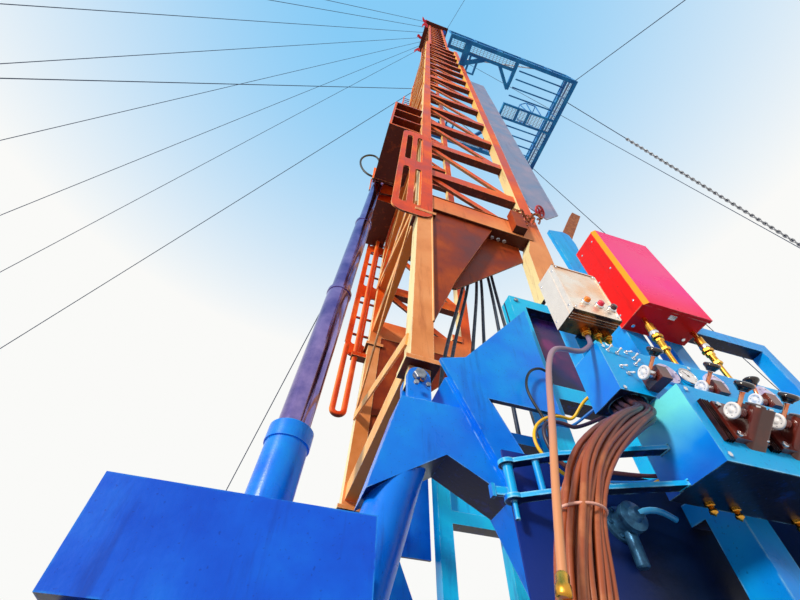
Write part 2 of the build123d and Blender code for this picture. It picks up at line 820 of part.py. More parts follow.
with BuildPart() as board_fingers:
    finger_rows = [board_near_y + 300 + finger_pitch * i for i in range(finger_count)]
    finger_rows += [board_far_y - 380 - finger_pitch * i for i in range(finger_count)]
    for y in finger_rows:
        with Locations((finger_start_x, y, board_height + board_depth / 2)):
            Box(
                strip_x - finger_start_x,
                finger_diameter,
                finger_diameter,
                align=(Align.MIN, Align.CENTER, Align.CENTER),
            )
save(board_fingers, "board_fingers")

with BuildPart() as board_hangers:
    for side, foot_y in ((-1, board_near_y), (1, board_far_y)):
        top = mast_point(front_leg_x, side * mast_half_width, 15900)
        foot = Vector(3600, foot_y - side * board_beam / 2, board_height + board_depth / 2)
        round_bar(foot, top, 36)
    for frame in lower_frames:
        add(frame, mode=Mode.SUBTRACT)
    add(board_frame.part, mode=Mode.SUBTRACT)
save(board_hangers, "board_hangers")

with BuildPart() as board_rail:
    rail_x = board_outer_x - 20
    rail_top = board_top + rail_post_height
    for level in (rail_top, board_top + rail_post_height / 2):
        block((rail_x - 20, board_near_y, level - 20), (rail_x + 20, board_far_y, level + 20))
        for y in (board_near_y, board_far_y - 40):
            block((board_inner_x, y, level - 20), (rail_x, y + 40, level + 20))
    for number in range(6):
        y = board_near_y + (board_far_y - board_near_y - 40) * number / 5
        block((rail_x - 20, y, board_top), (rail_x + 20, y + 40, rail_top))
    for number in range(5):
        x = board_inner_x + (rail_x - board_inner_x) * number / 5
        for y in (board_near_y, board_far_y - 40):
            block((x, y, board_top), (x + 40, y + 40, rail_top))
    # Rail round the middle walkway's end
    basket = [(3780, -190), (3960, -300), (4330, -300), (4330, 300), (3960, 300), (3780, 190)]
    for start, end in zip(basket, basket[1:] + basket[:1]):
        level = board_top + rail_post_height
        round_bar((start[0], board_middle + start[1], level), (end[0], board_middle + end[1], level), 34, (0, 0, 1))
    for x, y in basket:
        post_y = board_middle + (middle_walkway_width / 2 - 30) * (1 if y > 0 else -1)
        round_bar((x, post_y, board_top - 40), (x, board_middle + y, board_top + rail_post_height), 34, (1, 0, 0))
    add(board_frame.part, mode=Mode.SUBTRACT)
save(board_rail, "board_rail")

# Console: upper panel box, lower box standing further out, and a round hose port in the underside
port_x = panel_left + 65
port_y = (panel_front + console_back) / 2
with BuildPart() as console_housing:
    block((panel_left, panel_front, panel_bottom), (console_right, console_back, panel_top))
    block((box_left, box_front, box_bottom), (console_right, console_back, box_top))
    block((box_left, panel_front, box_top), (console_right, console_back, panel_bottom))
    with Locations((port_x, port_y, panel_bottom)):
        Cylinder(
            port_diameter / 2,
            port_depth,
            align=(Align.CENTER, Align.CENTER, Align.MIN),
            mode=Mode.SUBTRACT,
        )
save(console_housing, "console_housing")

# Console stand: posts, ties to the base rails, cabinet posts, back frame, the plate above and the cover behind
cover_left = -530
cover_top = 2280
cover_front = -1430
cover_thickness = 6
stand_back = console_back + 100
stand_top = 3300
with BuildPart() as console_stand:
    block((30, console_back, 0), (110, stand_back, stand_top))
    block((660, console_back, 0), (740, stand_back, panel_top))
    block((222, console_back, panel_top - 200), (292, console_back + 60, stand_top))
    block((30, console_back + 20, 2600), (292, console_back + 80, 2700))
    block((30, console_back + 20, 900), (740, stand_back, 980))
    for x in (70, 700):
        square_bar((x, stand_back - 20, 150), (x, -rail_y - rail_width / 2, 150), 80, 80, (1, 0, 0))
    block((30, stand_back - 60, 3020), (960, stand_back, 3080))
    block((900, stand_back - 60, 0), (960, stand_back, 3080))
    square_bar((930, stand_back - 20, 150), (930, -rail_y - rail_width / 2, 150), 60, 60, (1, 0, 0))
    block((-300, console_back - 50, panel_top), (-230, console_back, panel_top + 320))
    block((-300, console_back - 70, panel_top + 90), (-230, console_back - 50, panel_top + 320))
    block((cover_left, cover_front, 900), (960, cover_front + cover_thickness, cover_top))
    for x in (30, 660):
        for level in (1100, 2150):
            block((x, stand_back, level), (x + 80, cover_front, level + 60))
    hood_outline = [(50, stand_top - 60), (135, stand_top - 60), (175, 3690), (165, 3790), (130, 3810), (30, 3780)]
    plate(Plane.XZ.offset(-stand_back + 12), hood_outline, 24)
save(console_stand, "console_stand")

# Post that leans out above the stand's plate
with BuildPart() as stand_post:
    with BuildSketch(Plane.XZ.offset(-stand_back)):
        flat_bar((120, 3700), (405, 4270), 62)
    extrude(amount=-40)
save(stand_post, "stand_post")

# Bracket welded to the console's left side: two bent flat bars round a pipe, a strut, a lug and a pin
bracket_levels = [2119, 2214]
bracket_bar = 12
bracket_root = (box_left + 23, -1653)
bracket_bend = (-430, -1530)
bracket_end = (-538, -1455)
bracket_pipe = 26
with BuildPart() as hose_bracket:
    for level in bracket_levels:
        with BuildSketch(Plane.XY.offset(level)):
            flat_bar(bracket_root, bracket_bend, 30)
            flat_bar(bracket_bend, bracket_end, 30)
            with Locations(bracket_bend):
                Circle(15)
            with Locations(bracket_end):
                Circle(bracket_pipe / 2 + 11)
        extrude(amount=bracket_bar)
    low_level, high_level = bracket_levels
    end_x, end_y = bracket_end
    round_bar((end_x, end_y, low_level), (end_x, end_y, high_level + bracket_bar), bracket_pipe, (1, 0, 0))
    round_bar((end_x, end_y, low_level - 45), (end_x, end_y, low_level), bracket_pipe / 2, (1, 0, 0))
    round_bar((-478, -1497, low_level), (-478, -1497, high_level), 18, (1, 0, 0))
    lug_level = low_level + 22
    square_bar((end_x, end_y, lug_level), (end_x - 52, end_y + 8, lug_level), 10, 22, (0, 1, 0))
    square_bar((end_x - 47, end_y + 8, lug_level), (end_x - 57, end_y + 8, lug_level), 16, 34, (0, 1, 0))
    # The bars end flat against the console's side
    add(console_housing.part, mode=Mode.SUBTRACT)
save(hose_bracket, "hose_bracket")

# Valves: tilted bodies on the lower box, small housings and round caps on the upper panel
shaft_diameter = 12
hub_gap = 5
body_width = 58
stem_out = Vector(0, -0.8, 0.6)
upper_pivots = [Vector(x, panel_front - upper_reach, z) for x, z in upper_valves]
lower_pivots = [Vector(x, box_front - lower_reach, z) for x, z in lower_valves]
with BuildPart() as valve_bodies:
    for pivot in lower_pivots:
        body_middle = pivot + Vector(hub_gap + body_width / 2, 0, 0)
        with BuildSketch(Plane(origin=body_middle - stem_out * 110, x_dir=(1, 0, 0), z_dir=stem_out)):
            RectangleRounded(body_width, 62, 12)
        extrude(amount=132)
        foot_x = pivot.X - 30
        block((foot_x, box_front - 16, pivot.Z - 58), (foot_x + 92, box_front, pivot.Z + 48))
    for pivot in upper_pivots:
        low = (pivot.X + hub_gap, pivot.Y - 20, pivot.Z - 22)
        block(low, (pivot.X + hub_gap + 34, panel_front, pivot.Z + 22))
    for pivot in upper_pivots + lower_pivots:
        with BuildSketch(Plane.YZ.offset(pivot.X + hub_gap)):
            with Locations((pivot.Y, pivot.Z)):
                Circle(shaft_diameter / 2 + pin_clearance)
        extrude(amount=26, mode=Mode.SUBTRACT)
    add(console_housing.part, mode=Mode.SUBTRACT)
save(valve_bodies, "valve_bodies")

cap_places = [(-93, 2452), (91, 2466), (293, 2471)]
with BuildPart() as valve_caps:
    for x, z in cap_places:
        with BuildSketch(Plane.XZ.offset(-panel_front)):
            with Locations((x, z)):
                Circle(cap_diameter / 2)
        extrude(amount=9)
save(valve_caps, "valve_caps")

# Levers: white dial, hub and shaft on the pivot, stem and mushroom knob
stem_up = Vector(0, -0.3, 0.954)
stem_ways = [stem_out, stem_out, stem_out, stem_out, stem_up, stem_out]
lever_pivots = upper_pivots[:2] + lower_pivots[:2] + [upper_pivots[2], lower_pivots[2]]
for number, pivot in enumerate(lever_pivots):
    stem_way = stem_ways[number]
    with BuildPart() as lever:
        with BuildSketch(Plane.YZ.offset(pivot.X - hub_length)):
            with Locations((pivot.Y, pivot.Z)):
                Circle(hub_diameter / 2)
        extrude(amount=hub_length)
        with BuildSketch(Plane.YZ.offset(pivot.X - hub_length - dial_thickness)):
            with Locations((pivot.Y, pivot.Z)):
                Circle(dial_diameter / 2)
        extrude(amount=dial_thickness)
        with BuildSketch(Plane.YZ.offset(pivot.X)):
            with Locations((pivot.Y, pivot.Z)):
                Circle(shaft_diameter / 2)
        extrude(amount=hub_gap + 22)
        stem_foot = pivot - Vector(hub_length / 2, 0, 0)
        knob_foot = stem_foot + stem_way * (lever_length - knob_height / 2)
        with BuildSketch(Plane(origin=stem_foot, x_dir=(1, 0, 0), z_dir=stem_way)):
            Circle(lever_diameter / 2)
        extrude(amount=lever_length)
        with BuildSketch(Plane(origin=knob_foot, x_dir=(1, 0, 0), z_dir=stem_way)):
            Circle(knob_diameter / 2)
        extrude(amount=knob_height)
        rims = lever.edges().filter_by(GeomType.CIRCLE)
        fillet([e for e in rims if abs(e.radius - knob_diameter / 2) < 0.1], radius=knob_height * 0.42)
    save(lever, f"lever_{number + 1}")

# Pressure gauge on the panel
gauge_diameter = 62
gauge_place = (-17, 2462)
with BuildPart() as pressure_gauge:
    with BuildSketch(Plane.XZ.offset(-panel_front)):
        with Locations(gauge_place):
            Circle(gauge_diameter / 2)
    extrude(amount=12)
save(pressure_gauge, "pressure_gauge")

# Stainless button box with its buttons
button_left = -379
button_right = -206
button_bottom = 2600
button_top = 2850
button_front = -1746
button_back = console_back - 70
with BuildPart() as button_box:
    block((button_left, button_front, button_bottom), (button_right, button_back, button_top))
save(button_box, "button_box")

with BuildPart() as push_buttons:
    for x in (button_left + 64, button_left + 114, button_left + 161):
        with BuildSketch(Plane.XZ.offset(-button_front)):
            with Locations((x, button_bottom + 59)):
                Circle(14)
        extrude(amount=20)
save(push_buttons, "push_buttons")

# Red cabinet and its lid, with a sloped flange on the left side
cabinet_left = 12
cabinet_right = 302
cabinet_front = -1712
cabinet_bottom = 2822
cabinet_top = 3372
with BuildPart() as red_cabinet:
    block((cabinet_left, cabinet_front, cabinet_bottom), (cabinet_right, console_back, cabinet_top))
    with BuildSketch(Plane.XY.offset(cabinet_bottom - 5)):
        with BuildLine():
            Polyline(
                (cabinet_left, cabinet_front),
                (cabinet_left + 14, cabinet_front - 16),
                (cabinet_right + 6, cabinet_front - 16),
                (cabinet_right + 6, cabinet_front),
                close=True,
            )
        make_face()
    extrude(amount=cabinet_top - cabinet_bottom + 10)
save(red_cabinet, "red_cabinet")

# Fittings: glands under the button box and swivels between the red cabinet and the panel
fitting_y = -1653
gland_length = 32
gland_places = [(button_left + 78, -1682), (button_left + 120, -1682), (button_left + 157, -1682)]
with BuildPart() as console_fittings:
    for x, y in gland_places:
        with Locations((x, y, button_bottom)):
            Cylinder(9, gland_length, align=(Align.CENTER, Align.CENTER, Align.MAX))
            Cylinder(13, gland_length - 15, align=(Align.CENTER, Align.CENTER, Align.MAX))
    for x in (cabinet_left + 50, cabinet_right - 20):
        with Locations((x, fitting_y, cabinet_bottom)):
            Cylinder(8, cabinet_bottom - panel_top, align=(Align.CENTER, Align.CENTER, Align.MAX))
        with Locations((x, fitting_y, cabinet_bottom - 40)):
            Cylinder(15, 64, align=(Align.CENTER, Align.CENTER, Align.MAX))
        with Locations((x, fitting_y, cabinet_bottom - 118)):
            Cylinder(12, 46, align=(Align.CENTER, Align.CENTER, Align.MAX))
        with Locations((x, fitting_y, panel_top)):
            Cylinder(17, 34, align=(Align.CENTER, Align.CENTER, Align.MIN))
save(console_fittings, "console_fittings")

# Hose manifolds: a shelf inside the portal beam and a bar inside the box leg
hose_y = -mast_half_width + 205
shelf_height = portal_underside + pin_height
with BuildPart() as hose_manifolds:
    block((-20, -inner_y, 4940), (260, hose_y + 60, 4990))
    block((pin_x + 170, -mast_half_width + box_leg_width / 2, 2860), (plate_right + 210, hose_y + 60, 2920))
    for frame in lower_frames + a_frames:
        add(frame, mode=Mode.SUBTRACT)
    add(knee_plates.part, mode=Mode.SUBTRACT)
    add(post_frames.part, mode=Mode.SUBTRACT)
save(hose_manifolds, "hose_manifolds")

# Six hoses that hang from the shelf to the bar
hose_diameter = 25
hose_runs = 6
hose_top = 4950
hose_foot = 2910
hose_ends = [(5, -375), (52, -315), (98, -165), (144, -40), (190, 110), (236, 250)]
with BuildPart() as mast_hoses:
    for number, (top_x, foot_x) in enumerate(hose_ends):
        route = []
        for step in range(hose_runs + 1):
            along = step / hose_runs
            blend = 3 * along**2 - 2 * along**3
            x = top_x + (foot_x - top_x) * blend
            y = hose_y + 22 * sin(pi * along) * (1 if number % 2 else -1)
            route.append((x, y, hose_top + (hose_foot - hose_top) * along))
        cord(route, hose_diameter)
        print("mast hose radii", [round(radius) for radius in cord_radii(route)])
    add(hose_manifolds.part, mode=Mode.SUBTRACT)
save(mast_hoses, "mast_hoses")

# Conduit from the button box round the end of the panel and down
conduit_diameter = 15
conduit_x, conduit_y = gland_places[0]
conduit_top = button_bottom - gland_length - seat_gap
conduit_route = [
    (conduit_x, conduit_y, conduit_top),
    (conduit_x, conduit_y, conduit_top - 21),
    (conduit_x - 9, conduit_y - 2, conduit_top - 43),
    (conduit_x - 28, conduit_y - 6, conduit_top - 63),
    (conduit_x - 65, conduit_y - 14, conduit_top - 100),
    (conduit_x - 106, conduit_y - 23, conduit_top - 121),
    (conduit_x - 149, conduit_y - 32, conduit_top - 133),
    (conduit_x - 189, conduit_y - 40, conduit_top - 155),
    (conduit_x - 217, conduit_y - 45, conduit_top - 194),
    (conduit_x - 249, conduit_y - 51, conduit_top - 273),
    (conduit_x - 294, conduit_y - 63, conduit_top - 432),
    (conduit_x - 347, conduit_y - 80, conduit_top - 588),
    (conduit_x - 392, conduit_y - 88, conduit_top - 760),
]
with BuildPart() as box_conduit:
    cord(conduit_route, conduit_diameter)
    print("conduit radii", [round(radius) for radius in cord_radii(conduit_route)])
save(box_conduit, "box_conduit")

# Cable hank: outer shape of the bundle that hangs from the port
hank_y = -1700
hank_stations = [
    ((port_x, port_y, panel_bottom + port_depth - seat_gap), 42, 42, (0, 0, -1)),
    ((port_x, port_y, panel_bottom - 6), 42, 42, (0, 0, -1)),
    ((port_x - 30, port_y - 50, panel_bottom - 72), 46, 42, (-0.6, -0.5, -1)),
    ((port_x - 128, hank_y, panel_bottom - 130), 52, 44, (-1.2, -0.1, -1)),
    ((port_x - 256, hank_y, panel_bottom - 247), 54, 44, (-0.8, 0, -1)),
    ((port_x - 325, hank_y, panel_bottom - 370), 46, 40, (-0.5, 0, -1)),
    ((port_x - 368, hank_y, panel_bottom - 500), 54, 44, (-0.3, 0, -1)),
    ((port_x - 396, hank_y, panel_bottom - 640), 40, 36, (-0.1, 0, -1)),
    ((port_x - 404, hank_y, panel_bottom - 740), 20, 18, (0, 0, -1)),
]
with BuildPart() as cable_hank:
    for place, wide, deep, heading in hank_stations:
        with BuildSketch(Plane(origin=place, x_dir=(1, 0, heading[0]), z_dir=heading)):
            Ellipse(wide, deep)
    loft(ruled=True)
save(cable_hank, "cable_hank")

# Guy lines, each from its place on the mast or board to its ground anchor
guy_radius = guy_diameter / 2
crown_guy_ends = [(-800, -400), (-500, 150), (-200, 1600), (100, 3500), (350, 6300), (600, 9400), (850, 12000)]
crown_guy_runs = []
for start_y, ground_y in crown_guy_ends:
    crown_guy_runs.append((mast_point(crown_rear, start_y, upper_top + 20), (-anchor_reach, ground_y)))
crown_guy_runs.append((mast_point(crown_front, 300, upper_top + 20), (anchor_reach, -120)))
crown_guy_runs.append((mast_point(crown_front - 60, -crown_deck_width / 2, upper_top + 20), (2760, -anchor_reach)))
between_rungs = ladder_foot + 150 + rung_pitch * 19.5 + 40
section_guy_runs = [
    (mast_point(mast_rear, mast_half_width, lower_section_top - 200), (-anchor_reach, 2050)),
    (mast_point(mast_rear, mast_half_width + 20, lower_section_top - 900), (-anchor_reach, 14600)),
    (mast_point(mast_rear + 10, outer_y, between_rungs), (-4800, anchor_reach)),
]
middle_level = board_height + board_depth / 2
board_guy_runs = [
    ((board_outer_x - 80, board_near_y, middle_level), (8080, -anchor_reach)),
    ((board_outer_x, -950, middle_level), (anchor_reach, 420)),
    ((board_outer_x, board_far_y - 60, middle_level), (anchor_reach, 4160)),
]
guy_groups = {"crown_guys": crown_guy_runs, "section_guys": section_guy_runs, "board_guys": board_guy_runs}

with BuildPart() as guy_anchors:
    for runs in guy_groups.values():
        for start, ground in runs:
            with Locations((ground[0], ground[1], 0)):
                Box(anchor_plate, anchor_plate, anchor_height, align=(Align.CENTER, Align.CENTER, Align.MIN))
save(guy_anchors, "guy_anchors")

guy_holders = {"crown_guys": [crown_frame.part], "section_guys": lower_frames, "board_guys": [board_frame.part]}
for name, runs in guy_groups.items():
    with BuildPart() as guys:
        for start, ground in runs:
            foot = Vector(*ground, anchor_height - 60)
            head = Vector(*start)
            with BuildSketch(along_plane(foot, head, (0, 1, 0))):
                RegularPolygon(guy_radius, 6)
            extrude(amount=(head - foot).length)
        for holder in guy_holders[name]:
            add(holder, mode=Mode.SUBTRACT)
        add(guy_anchors.part, mode=Mode.SUBTRACT)
    save(guys, name)
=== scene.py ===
"""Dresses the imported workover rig: paint, castings, hoses, cables, chain, grating and small fittings."""

import math
import random

import bpy
from mathutils import Matrix, Vector


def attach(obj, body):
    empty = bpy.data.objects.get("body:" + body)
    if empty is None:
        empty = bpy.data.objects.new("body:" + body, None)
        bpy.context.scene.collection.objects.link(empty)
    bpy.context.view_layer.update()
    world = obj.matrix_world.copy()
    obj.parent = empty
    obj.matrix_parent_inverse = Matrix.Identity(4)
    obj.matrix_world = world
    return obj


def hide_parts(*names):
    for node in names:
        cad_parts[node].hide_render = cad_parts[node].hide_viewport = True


bl_info = {
    "name": "Workover rig dressing",
    "version": (1, 0, 0),
    "blender": (4, 5, 0),
    "location": "View3D > Sidebar > Rig",
    "description": "Finishes and small fittings for a leaning workover rig mast",
    "category": "Object",
}

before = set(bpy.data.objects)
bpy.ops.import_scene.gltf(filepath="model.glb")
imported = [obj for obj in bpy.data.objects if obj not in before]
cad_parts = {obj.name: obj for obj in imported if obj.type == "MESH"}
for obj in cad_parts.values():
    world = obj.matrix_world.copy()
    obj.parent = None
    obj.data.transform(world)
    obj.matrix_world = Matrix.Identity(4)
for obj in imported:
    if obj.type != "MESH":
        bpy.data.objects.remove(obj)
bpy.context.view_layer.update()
RIG = "rig"

# Ways out of the console's front and down
OUT = Vector((0, -1, 0))
DOWN = Vector((0, 0, -1))

# The mast leans about an axis through its two pins; the pins' height and its near face's Y are in metres
PIN_HEIGHT = 3.010
MAST_LEAN = math.radians(2.45)
NEAR_FACE = -0.890
UP_MAST = Vector((math.sin(MAST_LEAN), 0, math.cos(MAST_LEAN)))
ACROSS_MAST = Vector((math.cos(MAST_LEAN), 0, -math.sin(MAST_LEAN)))

# Top of the racking board's walkways
BOARD_TOP = 16.620

# Console and button box places, as in the source
PANEL_FRONT = -1.700
LOWER_FRONT = -1.770
PANEL_TOP = 2.524
PANEL_BOTTOM = 2.345
UPPER_REACH = 0.040
LOWER_REACH = 0.042
STEM_WAY = Vector((0, -0.8, 0.6))
BOX_LEFT = -0.379
BOX_BOTTOM = 2.600
BOX_FRONT = -1.746
GLANDS = (BOX_LEFT + 0.080, BOX_LEFT + 0.120, BOX_LEFT + 0.157)
GLAND_Y = -1.682
LEVER_PLACES = (
    (-0.208, PANEL_FRONT - UPPER_REACH, 2.386, STEM_WAY),
    (-0.019, PANEL_FRONT - UPPER_REACH, 2.386, STEM_WAY),
    (-0.097, LOWER_FRONT - LOWER_REACH, 2.235, STEM_WAY),
    (0.036, LOWER_FRONT - LOWER_REACH, 2.235, STEM_WAY),
    (0.170, PANEL_FRONT - UPPER_REACH, 2.389, Vector((0, -0.3, 0.954))),
    (0.170, LOWER_FRONT - LOWER_REACH, 2.235, STEM_WAY),
)


def mast_point(across, y, up):
    """World point of a place given across the mast, along Y and up the mast from the pins."""
    return Vector((0, y, PIN_HEIGHT)) + ACROSS_MAST * across + UP_MAST * up


# Colours and materials

# Grain of a metal's surface, squeezed along each axis
EVEN = (1, 1, 1)
DRAWN = (1, 1, 0.05)
TURNED = (1, 1, 0.1)

# Stretches over which a finish, or the light and shade painted on it, changes, in metres: heights, then the
# depths and width of two sheets
REDDER_FROM = (4.9, 5.5)
# Heights over which the painted sunlight on the mast's rear faces turns golden
SUNLIT_GOLDEN_FROM = (5.0, 12.0)
LOWER_BOX = (2.13, 2.34)
BOX_SEAM = (2.338, 2.344)
LID = (2.8, 3.4)
TANNED_FOOT = (2.05, 2.45)
SHADED_HANK = (2.06, 2.26)
COVER_TOP = (2.281, 2.285)
SHEET_FOOT = (3.215, 3.222)
COVER_FRONT = (-1.434, -1.431)
COVER_WIDTH = (-0.53, -0.15)
SHEET_FRONT = (-0.783, -0.781)
SHEET_BACK = (-0.769, -0.767)

# Tones of the mast's two sections, of the lower one high up with the golden painted sunlight of its rear
# faces last, and the dark brown painted shade on their undersides
LOW_MAST = ("#D8803C", "#EE9A5C", "#F8B078")
UPPER_MAST = ("#BC3004", "#E84C0C", "#FC7828")
HIGH_MAST = ("#CC3E08", "#EE5C10", "#FF8430", "#FFCC60")
UNDERSIDE_SHADE = "#4A1404"


def linear(shade):
    """Linear RGBA of an sRGB hex colour."""
    levels = [int(shade[i : i + 2], 16) / 255 for i in (1, 3, 5)]
    return [c / 12.92 if c <= 0.04045 else ((c + 0.055) / 1.055) ** 2.4 for c in levels] + [1.0]


def node(tree, kind, inputs=None, **settings):
    """Adds a node, sets its settings, and fills or links its inputs."""
    made = tree.nodes.new(kind)
    for key, value in settings.items():
        setattr(made, key, value)
    for key, value in (inputs or {}).items():
        if isinstance(value, bpy.types.NodeSocket):
            tree.links.new(value, made.inputs[key])
        else:
            made.inputs[key].default_value = value
    return made


def ramp(tree, factor, stops):
    """Colour ramp through (place, hex colour) stops; returns its colour socket."""
    made = node(tree, "ShaderNodeValToRGB", {"Fac": factor})
    elements = made.color_ramp.elements
    while len(elements) < len(stops):
        elements.new(0.5)
    for element, (place, shade) in zip(elements, stops):
        element.position = place
        element.color = linear(shade)
    return made.outputs["Color"]


def level(tree, value, low, high, bottom=0.0, top=1.0):
    """Maps a value from low..high to bottom..top, clamped."""
    inputs = {"Value": value, "From Min": low, "From Max": high, "To Min": bottom, "To Max": top}
    return node(tree, "ShaderNodeMapRange", inputs).outputs["Result"]


def mixed(tree, factor, first, second):
    """Mixes two colours, each a hex colour or a socket."""
    first, second = (linear(shade) if isinstance(shade, str) else shade for shade in (first, second))
    return node(tree, "ShaderNodeMix", {0: factor, 6: first, 7: second}, data_type="RGBA").outputs[2]


def new_material(name):
    """Empty material; returns its tree, its shader and the place on the object in metres."""
    material = bpy.data.materials.new(name)
    material.use_nodes = True
    tree = material.node_tree
    return tree, tree.nodes["Principled BSDF"], node(tree, "ShaderNodeTexCoord").outputs["Object"]


def noise(tree, place, size_mm, detail=3.0, rough=0.55, stretch=(1, 1, 1)):
    """Noise whose patches are size_mm across, squeezed by stretch along each axis."""
    scaled = node(tree, "ShaderNodeMapping", {"Vector": place, "Scale": stretch}).outputs[0]
    inputs = {"Vector": scaled, "Scale": 1000.0 / size_mm, "Detail": detail, "Roughness": rough}
    return node(tree, "ShaderNodeTexNoise", inputs).outputs["Fac"]


def worn_edges(tree, radius_mm):
    """1 along outer edges, from the difference between the face and its rounded normal."""
    rounded = node(tree, "ShaderNodeBevel", {"Radius": radius_mm / 1000}, samples=4).outputs[0]
    flat = node(tree, "ShaderNodeNewGeometry").outputs["Normal"]
    dot = node(tree, "ShaderNodeVectorMath", {0: rounded, 1: flat}, operation="DOT_PRODUCT")
    return level(tree, dot.outputs["Value"], 0.96, 0.80)


def facing(tree, axis, low=0.4, high=0.8):
    """1 where the surface faces along axis, such as (0, 0, -1) for an underside."""
    flat = node(tree, "ShaderNodeNewGeometry").outputs["Normal"]
    dot = node(tree, "ShaderNodeVectorMath", {0: flat, 1: axis}, operation="DOT_PRODUCT")
    return level(tree, dot.outputs["Value"], low, high)


def within(tree, place, axis, low, high):
    """0 below low and 1 above high, along one axis in metres."""
    split = node(tree, "ShaderNodeSeparateXYZ", {0: place})
    return level(tree, split.outputs[axis], low, high)


def below(tree, place, axis, low, high):
    """1 below low and 0 above high, along one axis in metres."""
    return level(tree, within(tree, place, axis, low, high), 0, 1, 1, 0)


def combined(tree, operation, first, second):
    """Sum, product or greater of two factors."""
    return node(tree, "ShaderNodeMath", {0: first, 1: second}, operation=operation).outputs[0]


def opened(name):
    """A made material, its tree and the place on the object in metres."""
    material = bpy.data.materials[name]
    return material, material.node_tree, node(material.node_tree, "ShaderNodeTexCoord").outputs["Object"]


def repaint(material, factor, shade):
    """Lays another colour over the material's own where factor is 1."""
    tree = material.node_tree
    base = tree.nodes["Principled BSDF"].inputs["Base Color"]
    tree.links.new(mixed(tree, factor, base.links[0].from_socket, shade), base)


def finish(tree, shader, colour, gloss, height, strength, depth_mm):
    """Links a material's colour, roughness and bump to its shader."""
    bump = node(tree, "ShaderNodeBump", {"Strength": strength, "Distance": depth_mm / 1000, "Height": height})
    for key, socket in (("Base Color", colour), ("Roughness", gloss), ("Normal", bump.outputs[0])):
        tree.links.new(socket, shader.inputs[key])


def tones(tree, patches, shades):
    """Three tones of one paint, laid by its mottling."""
    return ramp(tree, patches, list(zip((0.30, 0.52, 0.72), shades)))


def enamel(
    name, shades, patch_mm, wear, grime, roughness,
    underside=None, sunny=None, high=None, streak_mm=70, sheen=0.3,
):
    """Alkyd enamel sprayed on mild steel: mottled by sun and oil, streaked by rain, chipped at its edges,
    with painted sunlight on its rear faces and painted shade on its undersides where given.
    """
    tree, shader, place = new_material(name)
    patches = noise(tree, place, patch_mm, 4.0, 0.6)
    colour = tones(tree, patches, shades)
    # Higher up: redder tones, and the painted sunlight on rear faces turning golden
    if high:
        colour = mixed(tree, within(tree, place, 2, *REDDER_FROM), colour, tones(tree, patches, high))
        sunny = mixed(tree, within(tree, place, 2, *SUNLIT_GOLDEN_FROM), sunny, high[3])
    # Painted sunlight: rear faces turned towards the low sun are laid in the sunny colour
    if sunny is not None:
        colour = mixed(tree, facing(tree, (-1, 0, 0), 0.5, 0.9), colour, sunny)
    # Painted shade: undersides are laid in the underside colour
    if underside:
        colour = mixed(tree, facing(tree, (0, 0, -1)), colour, underside)
    runs = noise(tree, place, streak_mm, 5.0, 0.65, (1, 1, 0.12))
    specks = noise(tree, place, 9, 2.0, 0.5)
    colour = mixed(tree, level(tree, runs, 0.56, 0.74, 0.0, 0.55), colour, grime)
    colour = mixed(tree, level(tree, specks, 0.66, 0.74, 0.0, 0.5), colour, grime)
    flakes = level(tree, noise(tree, place, 45, 4.0), 0.42, 0.60)
    colour = mixed(tree, combined(tree, "MULTIPLY", worn_edges(tree, 9), flakes), colour, wear)
    shader.inputs["Specular IOR Level"].default_value = sheen
    gloss = level(tree, patches, 0.3, 0.7, roughness - 0.08, roughness + 0.18)
    peel = combined(tree, "ADD", noise(tree, place, 14, 2.0), runs)
    finish(tree, shader, colour, gloss, peel, 0.25, 2)


def metal(name, shades, roughness, patch_mm, grain=EVEN, bump_mm=0.4, metallic=1.0):
    """Bare or plated metal: two tones of filmed surface, on the chrome a painted reflection, with fine lines
    where its grain is drawn out.
    """
    tree, shader, place = new_material(name)
    film_and_reflection = noise(tree, place, patch_mm, 4.0, 0.6)
    colour = ramp(tree, film_and_reflection, [(0.3, shades[0]), (0.7, shades[1])])
    shader.inputs["Metallic"].default_value = metallic
    lines = noise(tree, place, 2.5, 2.0, 0.5, grain)
    gloss = level(tree, lines, 0.3, 0.7, roughness * 0.7, roughness * 1.3)
    finish(tree, shader, colour, gloss, lines, 0.3, bump_mm)


def moulded(name, shade, other, roughness, coat=0.0, grain_mm=3):
    """Moulded plastic, rubber or glossy paint in one colour, with a faint second tone of dust."""
    tree, shader, place = new_material(name)
    dust = level(tree, noise(tree, place, 55, 4.0, 0.65), 0.5, 0.75, 0.0, 0.6)
    shader.inputs["Coat Weight"].default_value = coat
    gloss = level(tree, dust, 0, 1, roughness, roughness + 0.25)
    finish(tree, shader, mixed(tree, dust, shade, other), gloss, noise(tree, place, grain_mm, 2.0), 0.2, 0.5)
